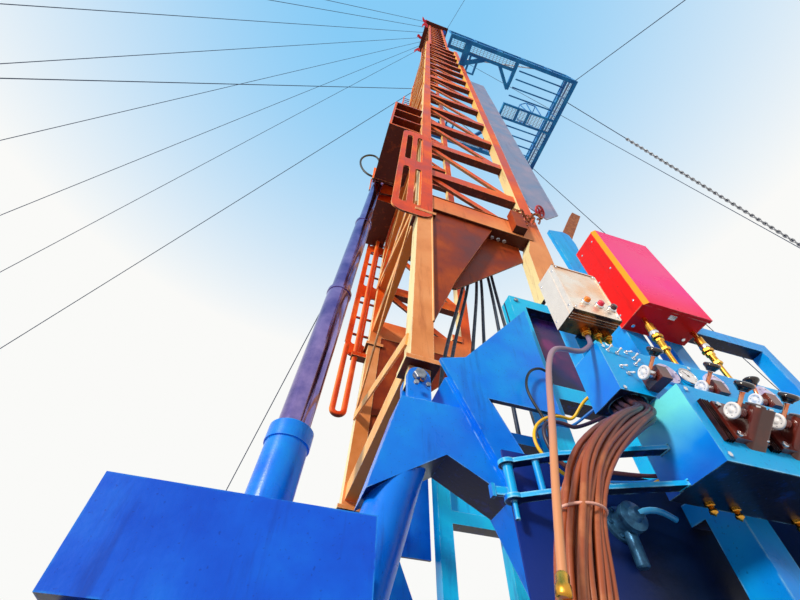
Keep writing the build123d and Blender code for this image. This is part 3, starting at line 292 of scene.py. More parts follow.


# Each enamel: name, three tones, patches in mm, worn edges, grime, roughness, painted shade on the underside,
# painted sunlight on rear faces
ENAMELS = (
    # Console, stand and post frames: fresh bright gloss with painted shade, nearly black, on the underside
    ("console_blue_enamel", ("#0096F0", "#00AEFA", "#04C0FE"), 420, "#A8E8FF", "#0A58C0", 0.28, "#03102E"),
    ("stand_blue_enamel", ("#0484F0", "#04A0FA", "#0CB4FC"), 420, "#90D4F8", "#0A48A4", 0.3, "#03102E"),
    ("post_blue_enamel", ("#00B0F8", "#00C6FE", "#10D4FF"), 420, "#A8ECFF", "#0A58C0", 0.28, "#03102E"),
    # Side plates, A-frames and base: deeper blue gloss with clouds of oil and painted shade on the underside
    ("base_blue_enamel", ("#0468EC", "#0488FC", "#0CA8FF"), 520, "#8CCBF8", "#0840A8", 0.28, "#04143C"),
    # Tank: royal blue, dulled in clouds, its edges rubbed lighter, painted shade on its underside
    ("tank_blue_enamel", ("#004CDC", "#0060F0", "#0478FE"), 300, "#2EA4FF", "#0438A8", 0.36, "#04143C"),
    ("ram_blue_enamel", ("#0068F0", "#0084FC", "#08A0FE"), 420, "#5CC8FC", "#0A40B0", 0.22),
    ("board_blue_enamel", ("#0A58AC", "#1C8AD8", "#3CB0F0"), 500, "#8CC8EC", "#123A6C", 0.45),
    # Mast: sun-faded paint, cream painted sunlight on its rear faces where the low sun strikes, dark brown
    # painted shade on undersides, redder high up
    ("mast_orange_enamel", LOW_MAST, 520, "#FFE6BC", "#A84A14", 0.42, UNDERSIDE_SHADE, "#FFF2B8", HIGH_MAST),
    ("upper_orange_enamel", UPPER_MAST, 420, "#FFD8A0", "#6E1E06", 0.42, UNDERSIDE_SHADE, "#FF9C48"),
    # Bracing almost cream, partly paint faded by the sun and partly painted sunlight, its underside light in
    # place of its shade; gussets dark brown as painted shade
    ("bleached_orange_enamel", ("#FFAC58", "#FFC880", "#FFE0A0"), 260, "#FFF2D0", "#E88C3C", 0.45, "#E88838"),
    ("gusset_rust_enamel", ("#6A1C04", "#8C300A", "#B04C18"), 340, "#E08C48", "#3A0E04", 0.45, "#300A02"),
    # Guide plate: primer grey that reads lavender in open shade
    ("guide_grey_enamel", ("#6A84B0", "#8C92B4", "#A8A0BC"), 300, "#F0F0F4", "#6A6488", 0.4),
)

# Each metal: name, two tones, roughness, patches in mm, grain, depth of the grain in mm, metallic share
METALS = (
    # Hard chrome plate on the ram's sliding stages, filmed with oil, its violet-blue tones a painted
    # reflection of sky and mast
    ("hard_chrome_plate", ("#4C4C94", "#A08CC4"), 0.14, 260, DRAWN),
    ("galvanised_steel", ("#7C8088", "#A8ABB2"), 0.45, 35),
    # Wire rope: drawn steel strands darkened by grease
    ("wire_rope_steel", ("#1E2E48", "#3A5070"), 0.55, 25, EVEN, 1.5, 0.5),
    # Stainless sheet, ground with grit across its width
    ("ground_stainless_steel", ("#EDE4DC", "#FFF6EC"), 0.34, 90, (0.04, 1, 1), 0.4, 0.8),
    ("sand_cast_iron", ("#4A1812", "#7A3222"), 0.5, 22, EVEN, 1.2, 0.35),
    ("cast_valve_steel", ("#1A3A5C", "#3C78A0"), 0.4, 30, EVEN, 0.8, 0.6),
    ("black_oxide_steel", ("#20101A", "#4A2420"), 0.25, 30, DRAWN, 0.3, 0.9),
    ("rusted_mild_steel", ("#7A3B1E", "#B06A3C"), 0.7, 18, EVEN, 1.0, 0.3),
    ("turned_brass", ("#C8882A", "#F0B850"), 0.28, 20, TURNED),
    ("copper_flashed_steel", ("#F0B090", "#E0703A"), 0.2, 30, TURNED),
    ("bright_turned_steel", ("#C8CCD4", "#F2F4F8"), 0.2, 30, TURNED),
)

# Each plastic, rubber or brushed paint: name, colour, dust, roughness, clear coat, grain in mm
MOULDINGS = (
    # Valve castings under glossy brown paint
    ("brown_painted_cast_iron", "#5A1A14", "#8A3A22", 0.28, 0.5, 12),
    # Knobs: compression moulded, glossy, brown-black
    ("phenolic_resin", "#1A0C0E", "#4A2A2A", 0.16, 0.6),
    ("white_nylon", "#F2F2F6", "#C9C6DC", 0.35),
    ("signal_orange_acetal", "#FF8A10", "#D85A08", 0.25, 0.4),
    ("signal_red_acetal", "#F01848", "#B00828", 0.25, 0.4),
    ("dark_acetal", "#3A1420", "#5A2C34", 0.25, 0.4),
    # Wire-braided hose: extruded cover, dusty where it hangs
    ("nitrile_hose_cover", "#2A3A4E", "#8A98AE", 0.5),
    ("black_nitrile", "#0B0D12", "#2C3440", 0.45),
    ("cyan_lever_paint", "#2C9CE0", "#6CC8F0", 0.3),
    ("lilac_pvc_conduit", "#8C7C9C", "#A8909C", 0.4),
    ("tan_pvc_cable", "#A4522E", "#D08858", 0.38),
    ("blue_pvc_cable", "#1E78D0", "#2A5A9A", 0.4),
    ("yellow_pvc_cable", "#FFC81E", "#E89A10", 0.35),
    ("red_bunting_nylon", "#F02C50", "#F8708C", 0.6),
    ("blue_nylon_block", "#0A6AE8", "#1E8CF4", 0.35),
    ("red_wheel_paint", "#D0102C", "#7A0A18", 0.3, 0.3),
    ("pink_zip_tie", "#F0B8A8", "#E09A88", 0.45),
)


def console_side_light_and_shade():
    """Painted light and shade on the console's left faces: deep blue shade low down on the lower box, a cyan
    painted highlight at its top, blue again above.
    """
    console, tree, place = opened("console_blue_enamel")
    clouds = noise(tree, place, 260, 3.0)
    height = combined(tree, "ADD", within(tree, place, 2, *LOWER_BOX), clouds)
    # Painted shade at the bottom stop, painted highlight at the top
    stops = [(0.0, "#0440C8"), (0.45, "#0490FF"), (1.0, "#78F6FF")]
    side = ramp(tree, level(tree, height, 0.35, 1.35), stops)
    high_side = ramp(tree, clouds, [(0.3, "#0468F4"), (0.7, "#04A8FF")])
    side = mixed(tree, within(tree, place, 2, *BOX_SEAM), side, high_side)
    repaint(console, facing(tree, (-1, 0, 0), 0.9, 0.98), side)


def stand_cover_shade():
    """Painted shade: nearly black on the cover sheet behind the stand's front posts."""
    stand, tree, place = opened("stand_blue_enamel")
    behind = within(tree, place, 1, *COVER_FRONT)
    cover = combined(tree, "MULTIPLY", behind, below(tree, place, 2, *COVER_TOP))
    cover_shade = ramp(tree, within(tree, place, 0, *COVER_WIDTH), [(0.0, "#0C3090"), (1.0, "#0A1A3C")])
    # Painted shade, darker towards the right
    repaint(stand, cover, cover_shade)


def post_sheet():
    """Backing sheet between the cyan posts, mottled dark blue to purple."""
    posts, tree, place = opened("post_blue_enamel")
    behind = within(tree, place, 1, *SHEET_FRONT)
    sheet = combined(tree, "MULTIPLY", behind, below(tree, place, 1, *SHEET_BACK))
    sheet = combined(tree, "MULTIPLY", sheet, within(tree, place, 2, *SHEET_FOOT))
    stops = [(0.35, "#0A1440"), (0.5, "#1A1A5C"), (0.62, "#4A1A5C"), (0.7, "#7A2468")]
    repaint(posts, sheet, ramp(tree, noise(tree, place, 320, 3.0), stops))


def cabinet_enamel_and_light():
    """Signal red gloss enamel, with painted light: its front face lit to magenta, changing with height, and a
    painted orange highlight on its slanted edge.
    """
    shades = ("#EC0A10", "#FA1012", "#FF1E18")
    enamel("cabinet_red_enamel", shades, 300, "#FFB090", "#B00610", 0.25, sheen=0.15)
    cabinet, tree, place = opened("cabinet_red_enamel")
    stops = [(0.0, "#FF0A48"), (0.30, "#FF0694"), (1.0, "#FF0678")]
    lit_front = ramp(tree, within(tree, place, 2, *LID), stops)
    repaint(cabinet, facing(tree, (0, -1, 0), 0.85, 0.95), lit_front)
    # Painted highlight on the slanted edge
    repaint(cabinet, facing(tree, (-0.75, -0.66, 0), 0.96, 0.99), "#FFA428")


def stainless_painted_reflections():
    """Painted reflections on the button box: warm on its front, and brown on its underside."""
    steel, tree, place = opened("ground_stainless_steel")
    front = ramp(tree, noise(tree, place, 120), [(0.35, "#FFC89C"), (0.6, "#FFF0E0")])
    under = ramp(tree, noise(tree, place, 60), [(0.4, "#3A1C12"), (0.6, "#A8602C")])
    # Painted reflection on the front and underside faces
    for axis, film_and_reflection in (((0, -1, 0), front), ((0, 0, -1), under)):
        repaint(steel, facing(tree, axis, 0.8, 0.95), film_and_reflection)


def cord_shades():
    """Conduit tanned towards its foot, and painted shade on the hank, dark where it leaves the console."""
    conduit, tree, place = opened("lilac_pvc_conduit")
    repaint(conduit, below(tree, place, 2, *TANNED_FOOT), "#D89468")
    cable, tree, place = opened("tan_pvc_cable")
    patchy_shade = level(tree, noise(tree, place, 40), 0.2, 0.5, 0.6, 1)
    # Painted shade on the hank's top, under the console
    repaint(cable, combined(tree, "MULTIPLY", within(tree, place, 2, *SHADED_HANK), patchy_shade), "#33283C")


def make_materials():
    """Makes every finish of the rig, each under its plain name."""
    for maker, rows in ((enamel, ENAMELS), (metal, METALS), (moulded, MOULDINGS)):
        for row in rows:
            maker(*row)
    caps = ("#B7A9D6", "#CFC6E8", "#E4E0F2")
    enamel("valve_cap_enamel", caps, 60, "#F4F2F8", "#8C7FA8", 0.38, streak_mm=30)
    for shade in (console_side_light_and_shade, stand_cover_shade, post_sheet, cabinet_enamel_and_light, stainless_painted_reflections, cord_shades):
        shade()


# Shapes


# A turned profile's point nearer its axis than this, in metres, is one point on it
ON_AXIS = 1e-6


def circle(steps, start=0.0):
    """Cosine and sine of each step round a circle."""
    for step in range(steps):
        angle = start + 2 * math.pi * step / steps
        yield math.cos(angle), math.sin(angle)


def frame_of(way, side=None):
    """Rotation whose Z runs along way, with X as near side as it can be."""
    z = Vector(way).normalized()
    if side is None:
        side = (1, 0, 0) if abs(z.x) < 0.9 else (0, 1, 0)
    x = Vector(side)
    x = (x - z * x.dot(z)).normalized()
    y = z.cross(x)
    return Matrix((x, y, z)).transposed()


class Shape:
    """Gathers the faces of one piece, each with its finish."""

    def __init__(self):
        self.points = []
        self.faces = []
        self.finishes = []
        self.rounded = []

    def add(self, points, faces, finish=0, rounded=True):
        """Adds a part's points and faces."""
        start = len(self.points)
        self.points += [tuple(p) for p in points]
        self.faces += [tuple(start + i for i in face) for face in faces]
        self.finishes += [finish] * len(faces)
        self.rounded += [rounded] * len(faces)

    def turned(self, profile, place, way, finish=0, steps=28, rounded=True):
        """Turns (radius, height) pairs about a line through place along way."""
        turn = frame_of(way)
        rings, points, faces = [], [], []
        for radius, height in profile:
            spots = [(0, 0, height)]
            if radius > ON_AXIS:
                spots = [(radius * x, radius * y, height) for x, y in circle(steps)]
            rings.append(range(len(points), len(points) + len(spots)))
            points += [Vector(place) + turn @ Vector(spot) for spot in spots]
        for low, high in zip(rings, rings[1:]):
            for step in range(steps):
                after = (step + 1) % steps
                if len(low) == 1 and len(high) > 1:
                    faces.append((low[0], high[after], high[step]))
                elif len(high) == 1 and len(low) > 1:
                    faces.append((low[step], low[after], high[0]))
                elif len(low) > 1:
                    faces.append((low[step], low[after], high[after], high[step]))
        self.add(points, faces, finish, rounded)

    def rod(self, start, end, radius, finish=0, steps=16):
        """Closed round bar with small rounded ends."""
        way = Vector(end) - Vector(start)
        length = way.length
        lip = min(radius * 0.25, length * 0.2)
        inner = radius - lip
        profile = [(0, 0), (inner, 0), (radius, lip), (radius, length - lip), (inner, length), (0, length)]
        self.turned(profile, start, way, finish, steps)

    def nut(self, place, way, across, height, finish=0):
        """Hexagonal nut or bolt head."""
        radius = across / 2 / math.cos(math.pi / 6)
        profile = [(0, 0), (radius, 0), (radius, height * 0.85), (radius * 0.86, height), (0, height)]
        self.turned(profile, place, way, finish, 6, False)

    def tube(self, route, radius, finish=0, steps=12, closed=False):
        """Tube along points, its section carried from one point to the next."""
        route = [Vector(p) for p in route]
        count = len(route)
        points = []
        side = None
        for number, place in enumerate(route):
            before = route[(number - 1) % count] if closed or number else place
            after = route[(number + 1) % count] if closed or number < count - 1 else place
            way = (after - before).normalized()
            if side is None:
                side = frame_of(way).col[0]
            side = (side - way * side.dot(way)).normalized()
            across = way.cross(side)
            points += [place + (side * x + across * y) * radius for x, y in circle(steps)]
        faces = []
        for number in range(count if closed else count - 1):
            low = number * steps
            high = ((number + 1) % count) * steps
            for step in range(steps):
                after = (step + 1) % steps
                faces.append((low + step, low + after, high + after, high + step))
        if not closed:
            faces.append(tuple(reversed(range(steps))))
            faces.append(tuple(range((count - 1) * steps, count * steps)))
        self.add(points, faces, finish)

    def ring(self, place, way, radius, thickness, finish=0, steps=32, sides=10):
        """Torus about a line through place."""
        turn = frame_of(way)
        route = [Vector(place) + turn @ Vector((radius * x, radius * y, 0)) for x, y in circle(steps)]
        self.tube(route, thickness, finish, sides, True)

    def prism(self, low, high, finish=0, chamfer=0.0):
        """Box between two corners, its upright edges cut off by chamfer."""
        (x0, y0, z0), (x1, y1, z1) = low, high
        flat = [(x0, y0), (x1, y0), (x1, y1), (x0, y1)]
        if chamfer:
            x2, y2, x3, y3 = x0 + chamfer, y0 + chamfer, x1 - chamfer, y1 - chamfer
            flat = [(x2, y0), (x3, y0), (x1, y2), (x1, y3), (x3, y1), (x2, y1), (x0, y3), (x0, y2)]
        count = len(flat)
        points = [(x, y, z) for z in (z0, z1) for x, y in flat]
        faces = [tuple(reversed(range(count))), tuple(range(count, 2 * count))]
        for i in range(count):
            j = (i + 1) % count
            faces.append((i, j, count + j, count + i))
        self.add(points, faces, finish, False)

    def bar(self, start, end, width, depth, side, finish=0):
        """Rectangular bar from start to end, its width along side."""
        start, end = Vector(start), Vector(end)
        turn = frame_of(end - start, side)
        length = (end - start).length
        half = Vector((width / 2, depth / 2, 0))
        corners = [(-1, -1), (1, -1), (1, 1), (-1, 1)]
        points = [start + turn @ Vector((half.x * a, half.y * b, z)) for z in (0, length) for a, b in corners]
        faces = [(3, 2, 1, 0), (4, 5, 6, 7), (0, 1, 5, 4), (1, 2, 6, 5), (2, 3, 7, 6), (3, 0, 4, 7)]
        self.add(points, faces, finish, False)

    def piece(self, name, materials, body=RIG, bevel=0.0, replaces=()):
        """Makes the object, sets its finishes and lets it ride on a body."""
        mesh = bpy.data.meshes.new(name)
        mesh.from_pydata(self.points, [], self.faces)
        mesh.polygons.foreach_set("material_index", self.finishes)
        mesh.polygons.foreach_set("use_smooth", self.rounded)
        mesh.update()
        made = bpy.data.objects.new(name, mesh)
        bpy.context.scene.collection.objects.link(made)
        for material in materials:
            mesh.materials.append(bpy.data.materials[material])
        if bevel:
            edge = made.modifiers.new("edge", "BEVEL")
            edge.width = bevel
            edge.segments = 2
            edge.limit_method = "ANGLE"
            edge.angle_limit = math.radians(40)
        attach(made, body)
        if replaces:
            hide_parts(*replaces)
        return made


def chain_links(shape, path, pitch, thick):
    """Chain links along a path, each turned a quarter from the last."""
    lengths = [0.0]
    for a, b in zip(path, path[1:]):
        lengths.append(lengths[-1] + (b - a).length)
    count = max(2, int(lengths[-1] / pitch))
    half, wide = pitch * 0.62, pitch * 0.34
    for number in range(count):
        want = lengths[-1] * (number + 0.5) / count
        k = max(i for i, value in enumerate(lengths[:-1]) if value <= want)
        share = (want - lengths[k]) / (lengths[k + 1] - lengths[k])
        spot = path[k].lerp(path[k + 1], share)
        way = (path[k + 1] - path[k]).normalized()
        turn = frame_of(way)
        side = turn.col[0] if number % 2 else turn.col[1]
        ring = [spot + way * (half * x) + side * (wide * y) for x, y in circle(12)]
        shape.tube(ring, thick, 0, 6, True)


def smooth_curve(name, points, radius, material, sides=4):
    """Round NURBS curve through control points, for a hose or cable."""
    curve = bpy.data.curves.new(name, "CURVE")
    curve.dimensions = "3D"
    curve.bevel_depth = radius
    curve.bevel_resolution = sides
    curve.resolution_u = 8
    curve.use_fill_caps = True
    spline = curve.splines.new("NURBS")
    spline.points.add(len(points) - 1)
    for control, point in zip(spline.points, points):
        control.co = (*point, 1.0)
    spline.order_u = 3
    spline.use_endpoint_u = True
    curve.materials.append(bpy.data.materials[material])
    made = bpy.data.objects.new(name, curve)
    bpy.context.scene.collection.objects.link(made)
    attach(made, RIG)
    return made


def spline_line(made):
    """Points along a curve object's own line, in metres, and its length."""
    curve = made.data.copy()
    curve.bevel_depth = 0
    plain = bpy.data.objects.new(made.name + "_line", curve)
    mesh = bpy.data.meshes.new_from_object(plain)
    line = [v.co.copy() for v in mesh.vertices]
    bpy.data.objects.remove(plain)
    bpy.data.curves.remove(curve)
    bpy.data.meshes.remove(mesh)
    return line, sum((b - a).length for a, b in zip(line, line[1:]))


def run_cord(name, route, width, material, replaced=None):
    """One hanging cord from the rig back into it, laid along control points."""
    made = smooth_curve(name, route, width / 2, material)
    if replaced:
        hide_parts(replaced)
    spline_line(made)[1]


NODE_FINISHES = {
    "console_blue_enamel": ("console_housing", "hose_bracket", "hose_manifolds"),
    "stand_blue_enamel": ("console_stand",),
    "post_blue_enamel": ("post_frames",),
    "base_blue_enamel": (
        "base_rails",
        "base_cross_members",
        "a_frame_near",
        "a_frame_far",
        "a_frame_cross_tubes",
        "cheek_plates",
        "ram_foot_bracket",
    ),
    "tank_blue_enamel": ("side_tank", "tank_stand"),
    "ram_blue_enamel": ("ram_barrel",),
    "board_blue_enamel": ("board_frame", "board_fingers", "board_rail"),
    "mast_orange_enamel": ("lower_frame_near", "lower_frame_far", "section_locks", "ram_head_bracket"),
    "bleached_orange_enamel": ("rear_diagonals", "rear_ties"),
    "gusset_rust_enamel": ("knee_plates",),
    "upper_orange_enamel": (
        "upper_frame_near",
        "upper_frame_far",
        "portal_gussets",
        "upper_rear_ties",
        "crown_frame",
        "ladder",
        "standpipe",
    ),
    "guide_grey_enamel": ("guide_plate",),
    "hard_chrome_plate": ("ram_stage_one", "ram_stage_two", "ram_rod"),
    "galvanised_steel": ("crown_sheaves", "mast_pins", "guy_anchors", "board_hangers"),
    "wire_rope_steel": ("crown_guys", "section_guys", "board_guys"),
    "cabinet_red_enamel": ("red_cabinet",),
    "ground_stainless_steel": ("button_box",),
    "brown_painted_cast_iron": ("valve_bodies",),
    "rusted_mild_steel": ("stand_post",),
    "valve_cap_enamel": ("valve_caps",),
    "turned_brass": ("console_fittings",),
}


# Settings


class StageSettings(bpy.types.PropertyGroup):
    """Floor, light and camera."""

    floor_half: bpy.props.FloatProperty(
        name="Floor half width", description="Half the floor's width", default=60.0, unit="LENGTH"
    )
    sun_strength: bpy.props.FloatProperty(
        name="Sun", description="Strength of the low soft sun", default=3.0, min=0
    )
    sky_strength: bpy.props.FloatProperty(
        name="Sky light", description="Strength of the even sky light", default=0.5, min=0
    )
    lens: bpy.props.FloatProperty(name="Lens", description="Focal length in mm", default=18.675, min=1)


class LeverSettings(bpy.types.PropertyGroup):
    """Sizes of the console levers."""

    length: bpy.props.FloatProperty(
        name="Stem length", description="From the hub to the knob's middle", default=0.062, unit="LENGTH"
    )
    knob: bpy.props.FloatProperty(
        name="Knob diameter", description="Across the mushroom knob", default=0.042, unit="LENGTH"
    )
    dial: bpy.props.FloatProperty(
        name="Dial diameter", description="Across the white dial", default=0.040, unit="LENGTH"
    )
    hub: bpy.props.FloatProperty(name="Hub length", description="Along shaft", default=0.024, unit="LENGTH")


class HoseSettings(bpy.types.PropertyGroup):
    """Sizes of the hoses and cables."""

    hose: bpy.props.FloatProperty(
        name="Hose diameter", description="Outside of each mast hose", default=0.025, unit="LENGTH"
    )
    conduit: bpy.props.FloatProperty(
        name="Conduit diameter", description="Outside of the conduit", default=0.015, unit="LENGTH"
    )
    cable: bpy.props.FloatProperty(
        name="Cable diameter", description="Outside of the hank's cable", default=0.0135, unit="LENGTH"
    )


class ColourSettings(bpy.types.PropertyGroup):
    """Backdrop colours."""

    floor: bpy.props.StringProperty(name="Floor", description="Pale floor, sRGB hex", default="#EEECE8")
    low_sky: bpy.props.StringProperty(
        name="Low backdrop", description="Backdrop near the floor, sRGB hex", default="#FAFAF8"
    )
    high_sky: bpy.props.StringProperty(
        name="High backdrop", description="Backdrop overhead, sRGB hex", default="#86CBF6"
    )


# Pieces


class RIG_OT_finishes(bpy.types.Operator):
    """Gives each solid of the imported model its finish"""

    bl_idname = "rig.finishes"
    bl_label = "Finishes"

    def execute(self, context):
        make_materials()
        for material, names in NODE_FINISHES.items():
            for name in names:
                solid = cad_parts[name]
                solid.data.materials.clear()
                solid.data.materials.append(bpy.data.materials[material])
        return {"FINISHED"}


class RIG_OT_cords(bpy.types.Operator):
    """Mast hoses, conduit, cable hank and loops"""

    bl_idname = "rig.cords"
    bl_label = "Hoses and cables"

    def execute(self, context):
        sizes = context.scene.rig_hoses
        ends = [(0.005, -0.375), (0.052, -0.315), (0.098, -0.165)]
        ends += [(0.144, -0.040), (0.190, 0.110), (0.236, 0.250)]
        hose_y, top, foot, runs = -0.620, 4.950, 2.910, 6
        seat = 0.0105
        for number, (top_x, foot_x) in enumerate(ends):
            route = []
            for step in range(runs + 1):
                along = step / runs
                eased = 3 * along**2 - 2 * along**3
                x = top_x + (foot_x - top_x) * eased
                y = hose_y + 0.022 * math.sin(math.pi * along) * (1 if number % 2 else -1)
                z = top + (foot - top) * along
                route.append(Vector((x, y, min(max(z, foot + seat), top - seat))))
            run_cord(f"mast_hose_{number + 1}", route, sizes.hose, "nitrile_hose_cover", "mast_hoses")
        self.conduit(sizes)
        self.hank(sizes)
        self.loops()
        return {"FINISHED"}

    @staticmethod
    def conduit(sizes):
        """Conduit from the button box's gland down into a brass connector."""
        gland = Vector((-0.301, -1.682, 2.5677))
        offsets = [
            (0, 0, 0),
            (0, 0, -21),
            (-9, -2, -43),
            (-28, -6, -63),
            (-65, -14, -100),
            (-106, -23, -121),
            (-149, -32, -133),
            (-189, -40, -155),
            (-217, -45, -194),
            (-249, -51, -273),
            (-294, -63, -432),
            (-347, -80, -588),
            (-392, -88, -760),
        ]
        route = [gland + Vector(o) / 1000 for o in offsets]
        conduit = smooth_curve("box_conduit_run", route, sizes.conduit / 2, "lilac_pvc_conduit")
        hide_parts("box_conduit")
        line, length = spline_line(conduit)
        plug = Shape()
        way = (line[-1] - line[-3]).normalized()
        long = 0.034
        profile = [(0.0077, 0), (0.0100, 0.004), (0.0100, 0.016), (0.0118, 0.018)]
        profile += [(0.0118, 0.031), (0.010, long), (0, long)]
        plug.turned(profile, line[-1] - way * long, way)
        connector = plug.piece("conduit_connector", ["turned_brass"])

    @staticmethod
    def loops():
        """Three cable loops behind the bars and two black hose loops, each from the rig back into it."""
        centre = Vector((-0.350, -1.490, 2.290))
        coils = (
            ("yellow_loop", "yellow_pvc_cable", 0.105, 0.0095, 0.000),
            ("blue_loop", "blue_pvc_cable", 0.092, 0.0085, 0.012),
            ("brown_loop", "tan_pvc_cable", 0.078, 0.0115, -0.013),
        )
        for number, (name, material, radius, width, shift) in enumerate(coils):
            start = Vector((-0.262 + 0.03 * number, -1.584, 2.440 - 0.02 * number))
            route = [start, start + Vector((0, 0.022, 0)), start + Vector((-0.012, 0.055, -0.006))]
            for step in range(13):
                angle = math.radians(60 + 20 * step)
                height = radius * math.sin(angle) + 0.010 * math.sin(angle * 2 + number)
                route.append(centre + Vector((radius * math.cos(angle), shift + 0.004 * step / 12, height)))
            end = Vector((-0.150 + 0.03 * number, -1.584, 2.190 + 0.02 * number))
            route += [end + Vector((-0.030, 0.060, -0.010)), end + Vector((0, 0.030, 0)), end]
            run_cord(name, route, width, material)
        post_loop = [(0.146, 3.122), (0.121, 3.158), (0.081, 3.168), (0.025, 3.137), (-0.012, 3.084)]
        post_loop += [(-0.033, 3.024), (-0.035, 2.972), (-0.025, 2.924)]
        post_loop += [(-0.010, 2.880), (0.002, 2.848), (0.020, 2.790)]
        route = [Vector((0.150, -0.937, 3.080)), Vector((0.150, -0.965, 3.085))]
        route += [Vector((x, -0.990, z)) for x, z in post_loop]
        route += [Vector((0.030, -0.965, 2.735)), Vector((0.030, -0.937, 2.730))]
        run_cord("post_hose_loop", route, 0.014, "black_nitrile")
        ram_loop = [(-0.905, 7.420), (-0.960, 7.425), (-1.060, 7.545), (-1.125, 7.780), (-1.120, 8.020)]
        ram_loop += [(-1.040, 8.230), (-0.930, 8.300), (-0.850, 8.200)]
        ram_loop += [(-0.830, 7.960), (-0.830, 7.820), (-0.830, 7.750)]
        run_cord("ram_hose_loop", [Vector((x, -0.090, z)) for x, z in ram_loop], 0.030, "black_nitrile")

    @staticmethod
    def hank(sizes):
        """One long cable folded down and up in flat rows of nested loops, tied twice, its top in the port."""
        port_x, port_y, hank_y = -0.235, -1.642, -1.700
        places = (
            (0.000, port_y, 0.068, 0.034, 0.034, 0.0),
            (0.000, port_y, -0.006, 0.035, 0.034, 0.0),
            (-0.030, port_y - 0.050, -0.072, 0.040, 0.034, 0.2),
            (-0.128, hank_y, -0.130, 0.047, 0.036, 0.35),
            (-0.256, hank_y, -0.247, 0.048, 0.036, 0.5),
            (-0.325, hank_y, -0.370, 0.040, 0.033, 0.55),
            (-0.368, hank_y, -0.500, 0.046, 0.036, 0.45),
            (-0.394, hank_y, -0.630, 0.038, 0.032, 0.3),
            (-0.402, hank_y, -0.672, 0.034, 0.030, 0.2),
        )
        stations = []
        for x, y, z, wide, deep, twist in places:
            stations.append((Vector((port_x + x, y, PANEL_BOTTOM + z)), wide, deep, twist))
        order = []
        for number, row in enumerate((-0.78, -0.26, 0.26, 0.78)):
            shift = 0.07 if number % 2 else -0.07
            nested = [(side * column + shift, row) for column in (0.92, 0.56, 0.20) for side in (-1, 1)]
            order += reversed(nested) if number % 2 else nested
        dice = random.Random(5)
        route = []
        for number, (across, away) in enumerate(order):
            run = []
            shrink = math.sqrt(max(0.0, 1 - (away * 0.75) ** 2))
            for place, wide, deep, twist in stations:
                at_end = place in (stations[0][0], stations[-1][0])
                loose = 0.0 if at_end else 0.0022
                jitter = Vector((dice.uniform(-loose, loose), dice.uniform(-loose, loose), 0))
                sway = 0.0 if at_end else 0.16 * math.sin(place.z * 17 + number * 2.6)
                flat = Vector(((across * shrink + sway) * wide, away * deep, 0))
                flat.rotate(Matrix.Rotation(twist * 0.5, 3, "Z"))
                run.append(place + flat + jitter)
            nest = abs(across) * 0.045
            run[-1].z -= nest
            run[0].z -= 0.045 - nest
            round_off = abs(across) * shrink
            run.insert(-1, run[-1] + Vector((0, 0, min(2 * round_off * stations[-1][1], 0.034))))
            run.insert(1, run[0] - Vector((0, 0, min(2 * round_off * stations[0][1], 0.030))))
            route += reversed(run) if number % 2 else run
        cable = smooth_curve("cable_hank_turns", route, sizes.cable / 2, "tan_pvc_cable", sides=3)
        cable.data.resolution_u = 5
        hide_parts("cable_hank")
        length = spline_line(cable)[1]
        ties = Shape()
        clear = 0.0085
        for place, wide, deep, _ in (stations[5], stations[7]):
            ring = [place + Vector((x * (wide + clear), y * (deep + clear), 0)) for x, y in circle(28)]
            ties.tube(ring, 0.0028, 0, 6, True)
        tie_piece = ties.piece("hank_ties", ["pink_zip_tie"])


LEVER_FINISHES = (
    "white_nylon",
    "phenolic_resin",
    "bright_turned_steel",
    "galvanised_steel",
    "copper_flashed_steel",
)


class RIG_OT_levers(bpy.types.Operator):
    """Console levers: white dial, hub, turned stem and mushroom knob"""

    bl_idname = "rig.levers"
    bl_label = "Levers"

    def execute(self, context):
        sizes = context.scene.rig_levers
        for number, (x, y, z, stem_way) in enumerate(LEVER_PLACES):
            pivot = Vector((x, y, z))
            lever = Shape()
            back = Vector((-1, 0, 0))
            dial = sizes.dial / 2
            hub = [(0, 0), (0.0135, 0), (0.0140, 0.002), (0.0140, sizes.hub - 0.002), (0.0150, sizes.hub)]
            lever.turned(hub, pivot, back, 2)
            face = [(0.0150, 0), (dial - 0.001, 0), (dial, 0.0012), (dial, 0.0055), (dial - 0.0015, 0.007)]
            face += [(dial - 0.006, 0.007), (dial - 0.0065, 0.0062)]
            face += [(0.006, 0.0062), (0.0055, 0.007), (0, 0.007)]
            root = pivot + back * sizes.hub
            lever.turned(face, root, back, 0, 40)
            for y_way, z_way in circle(6):
                spot = root + back * 0.0058 + Vector((0, y_way, z_way)) * dial * 0.62
                lever.turned([(0.0013, 0), (0.0013, 0.0008), (0, 0.0009)], spot, back, 3, 10)
            lever.rod(pivot, pivot + Vector((0.027, 0, 0)), 0.006, 2)
            foot = pivot + back * (sizes.hub / 2)
            length = sizes.length
            stem = [(0.0058, 0.006), (0.0060, 0.016), (0.0052, 0.019)]
            stem += [(0.0052, length - 0.018), (0.0070, length - 0.013)]
            lever.turned(stem, foot, stem_way, 4, 20)
            cap = [(0.0066, -0.0120), (0.0105, -0.0122), (0.0125, -0.0075)]
            dome = [(0.80, -0.0030), (0.96, 0.0005), (1, 0.0040)]
            dome += [(0.96, 0.0075), (0.80, 0.0102), (0.45, 0.0116)]
            cap += [(sizes.knob / 2 * share, height) for share, height in dome]
            lever.turned([*cap, (0, 0.0120)], foot + stem_way.normalized() * length, stem_way, 1, 40)
            name = f"lever_{number + 1}"
            lever.piece(name + "_handle", LEVER_FINISHES, name + "_arm", 0, (name,))
        return {"FINISHED"}


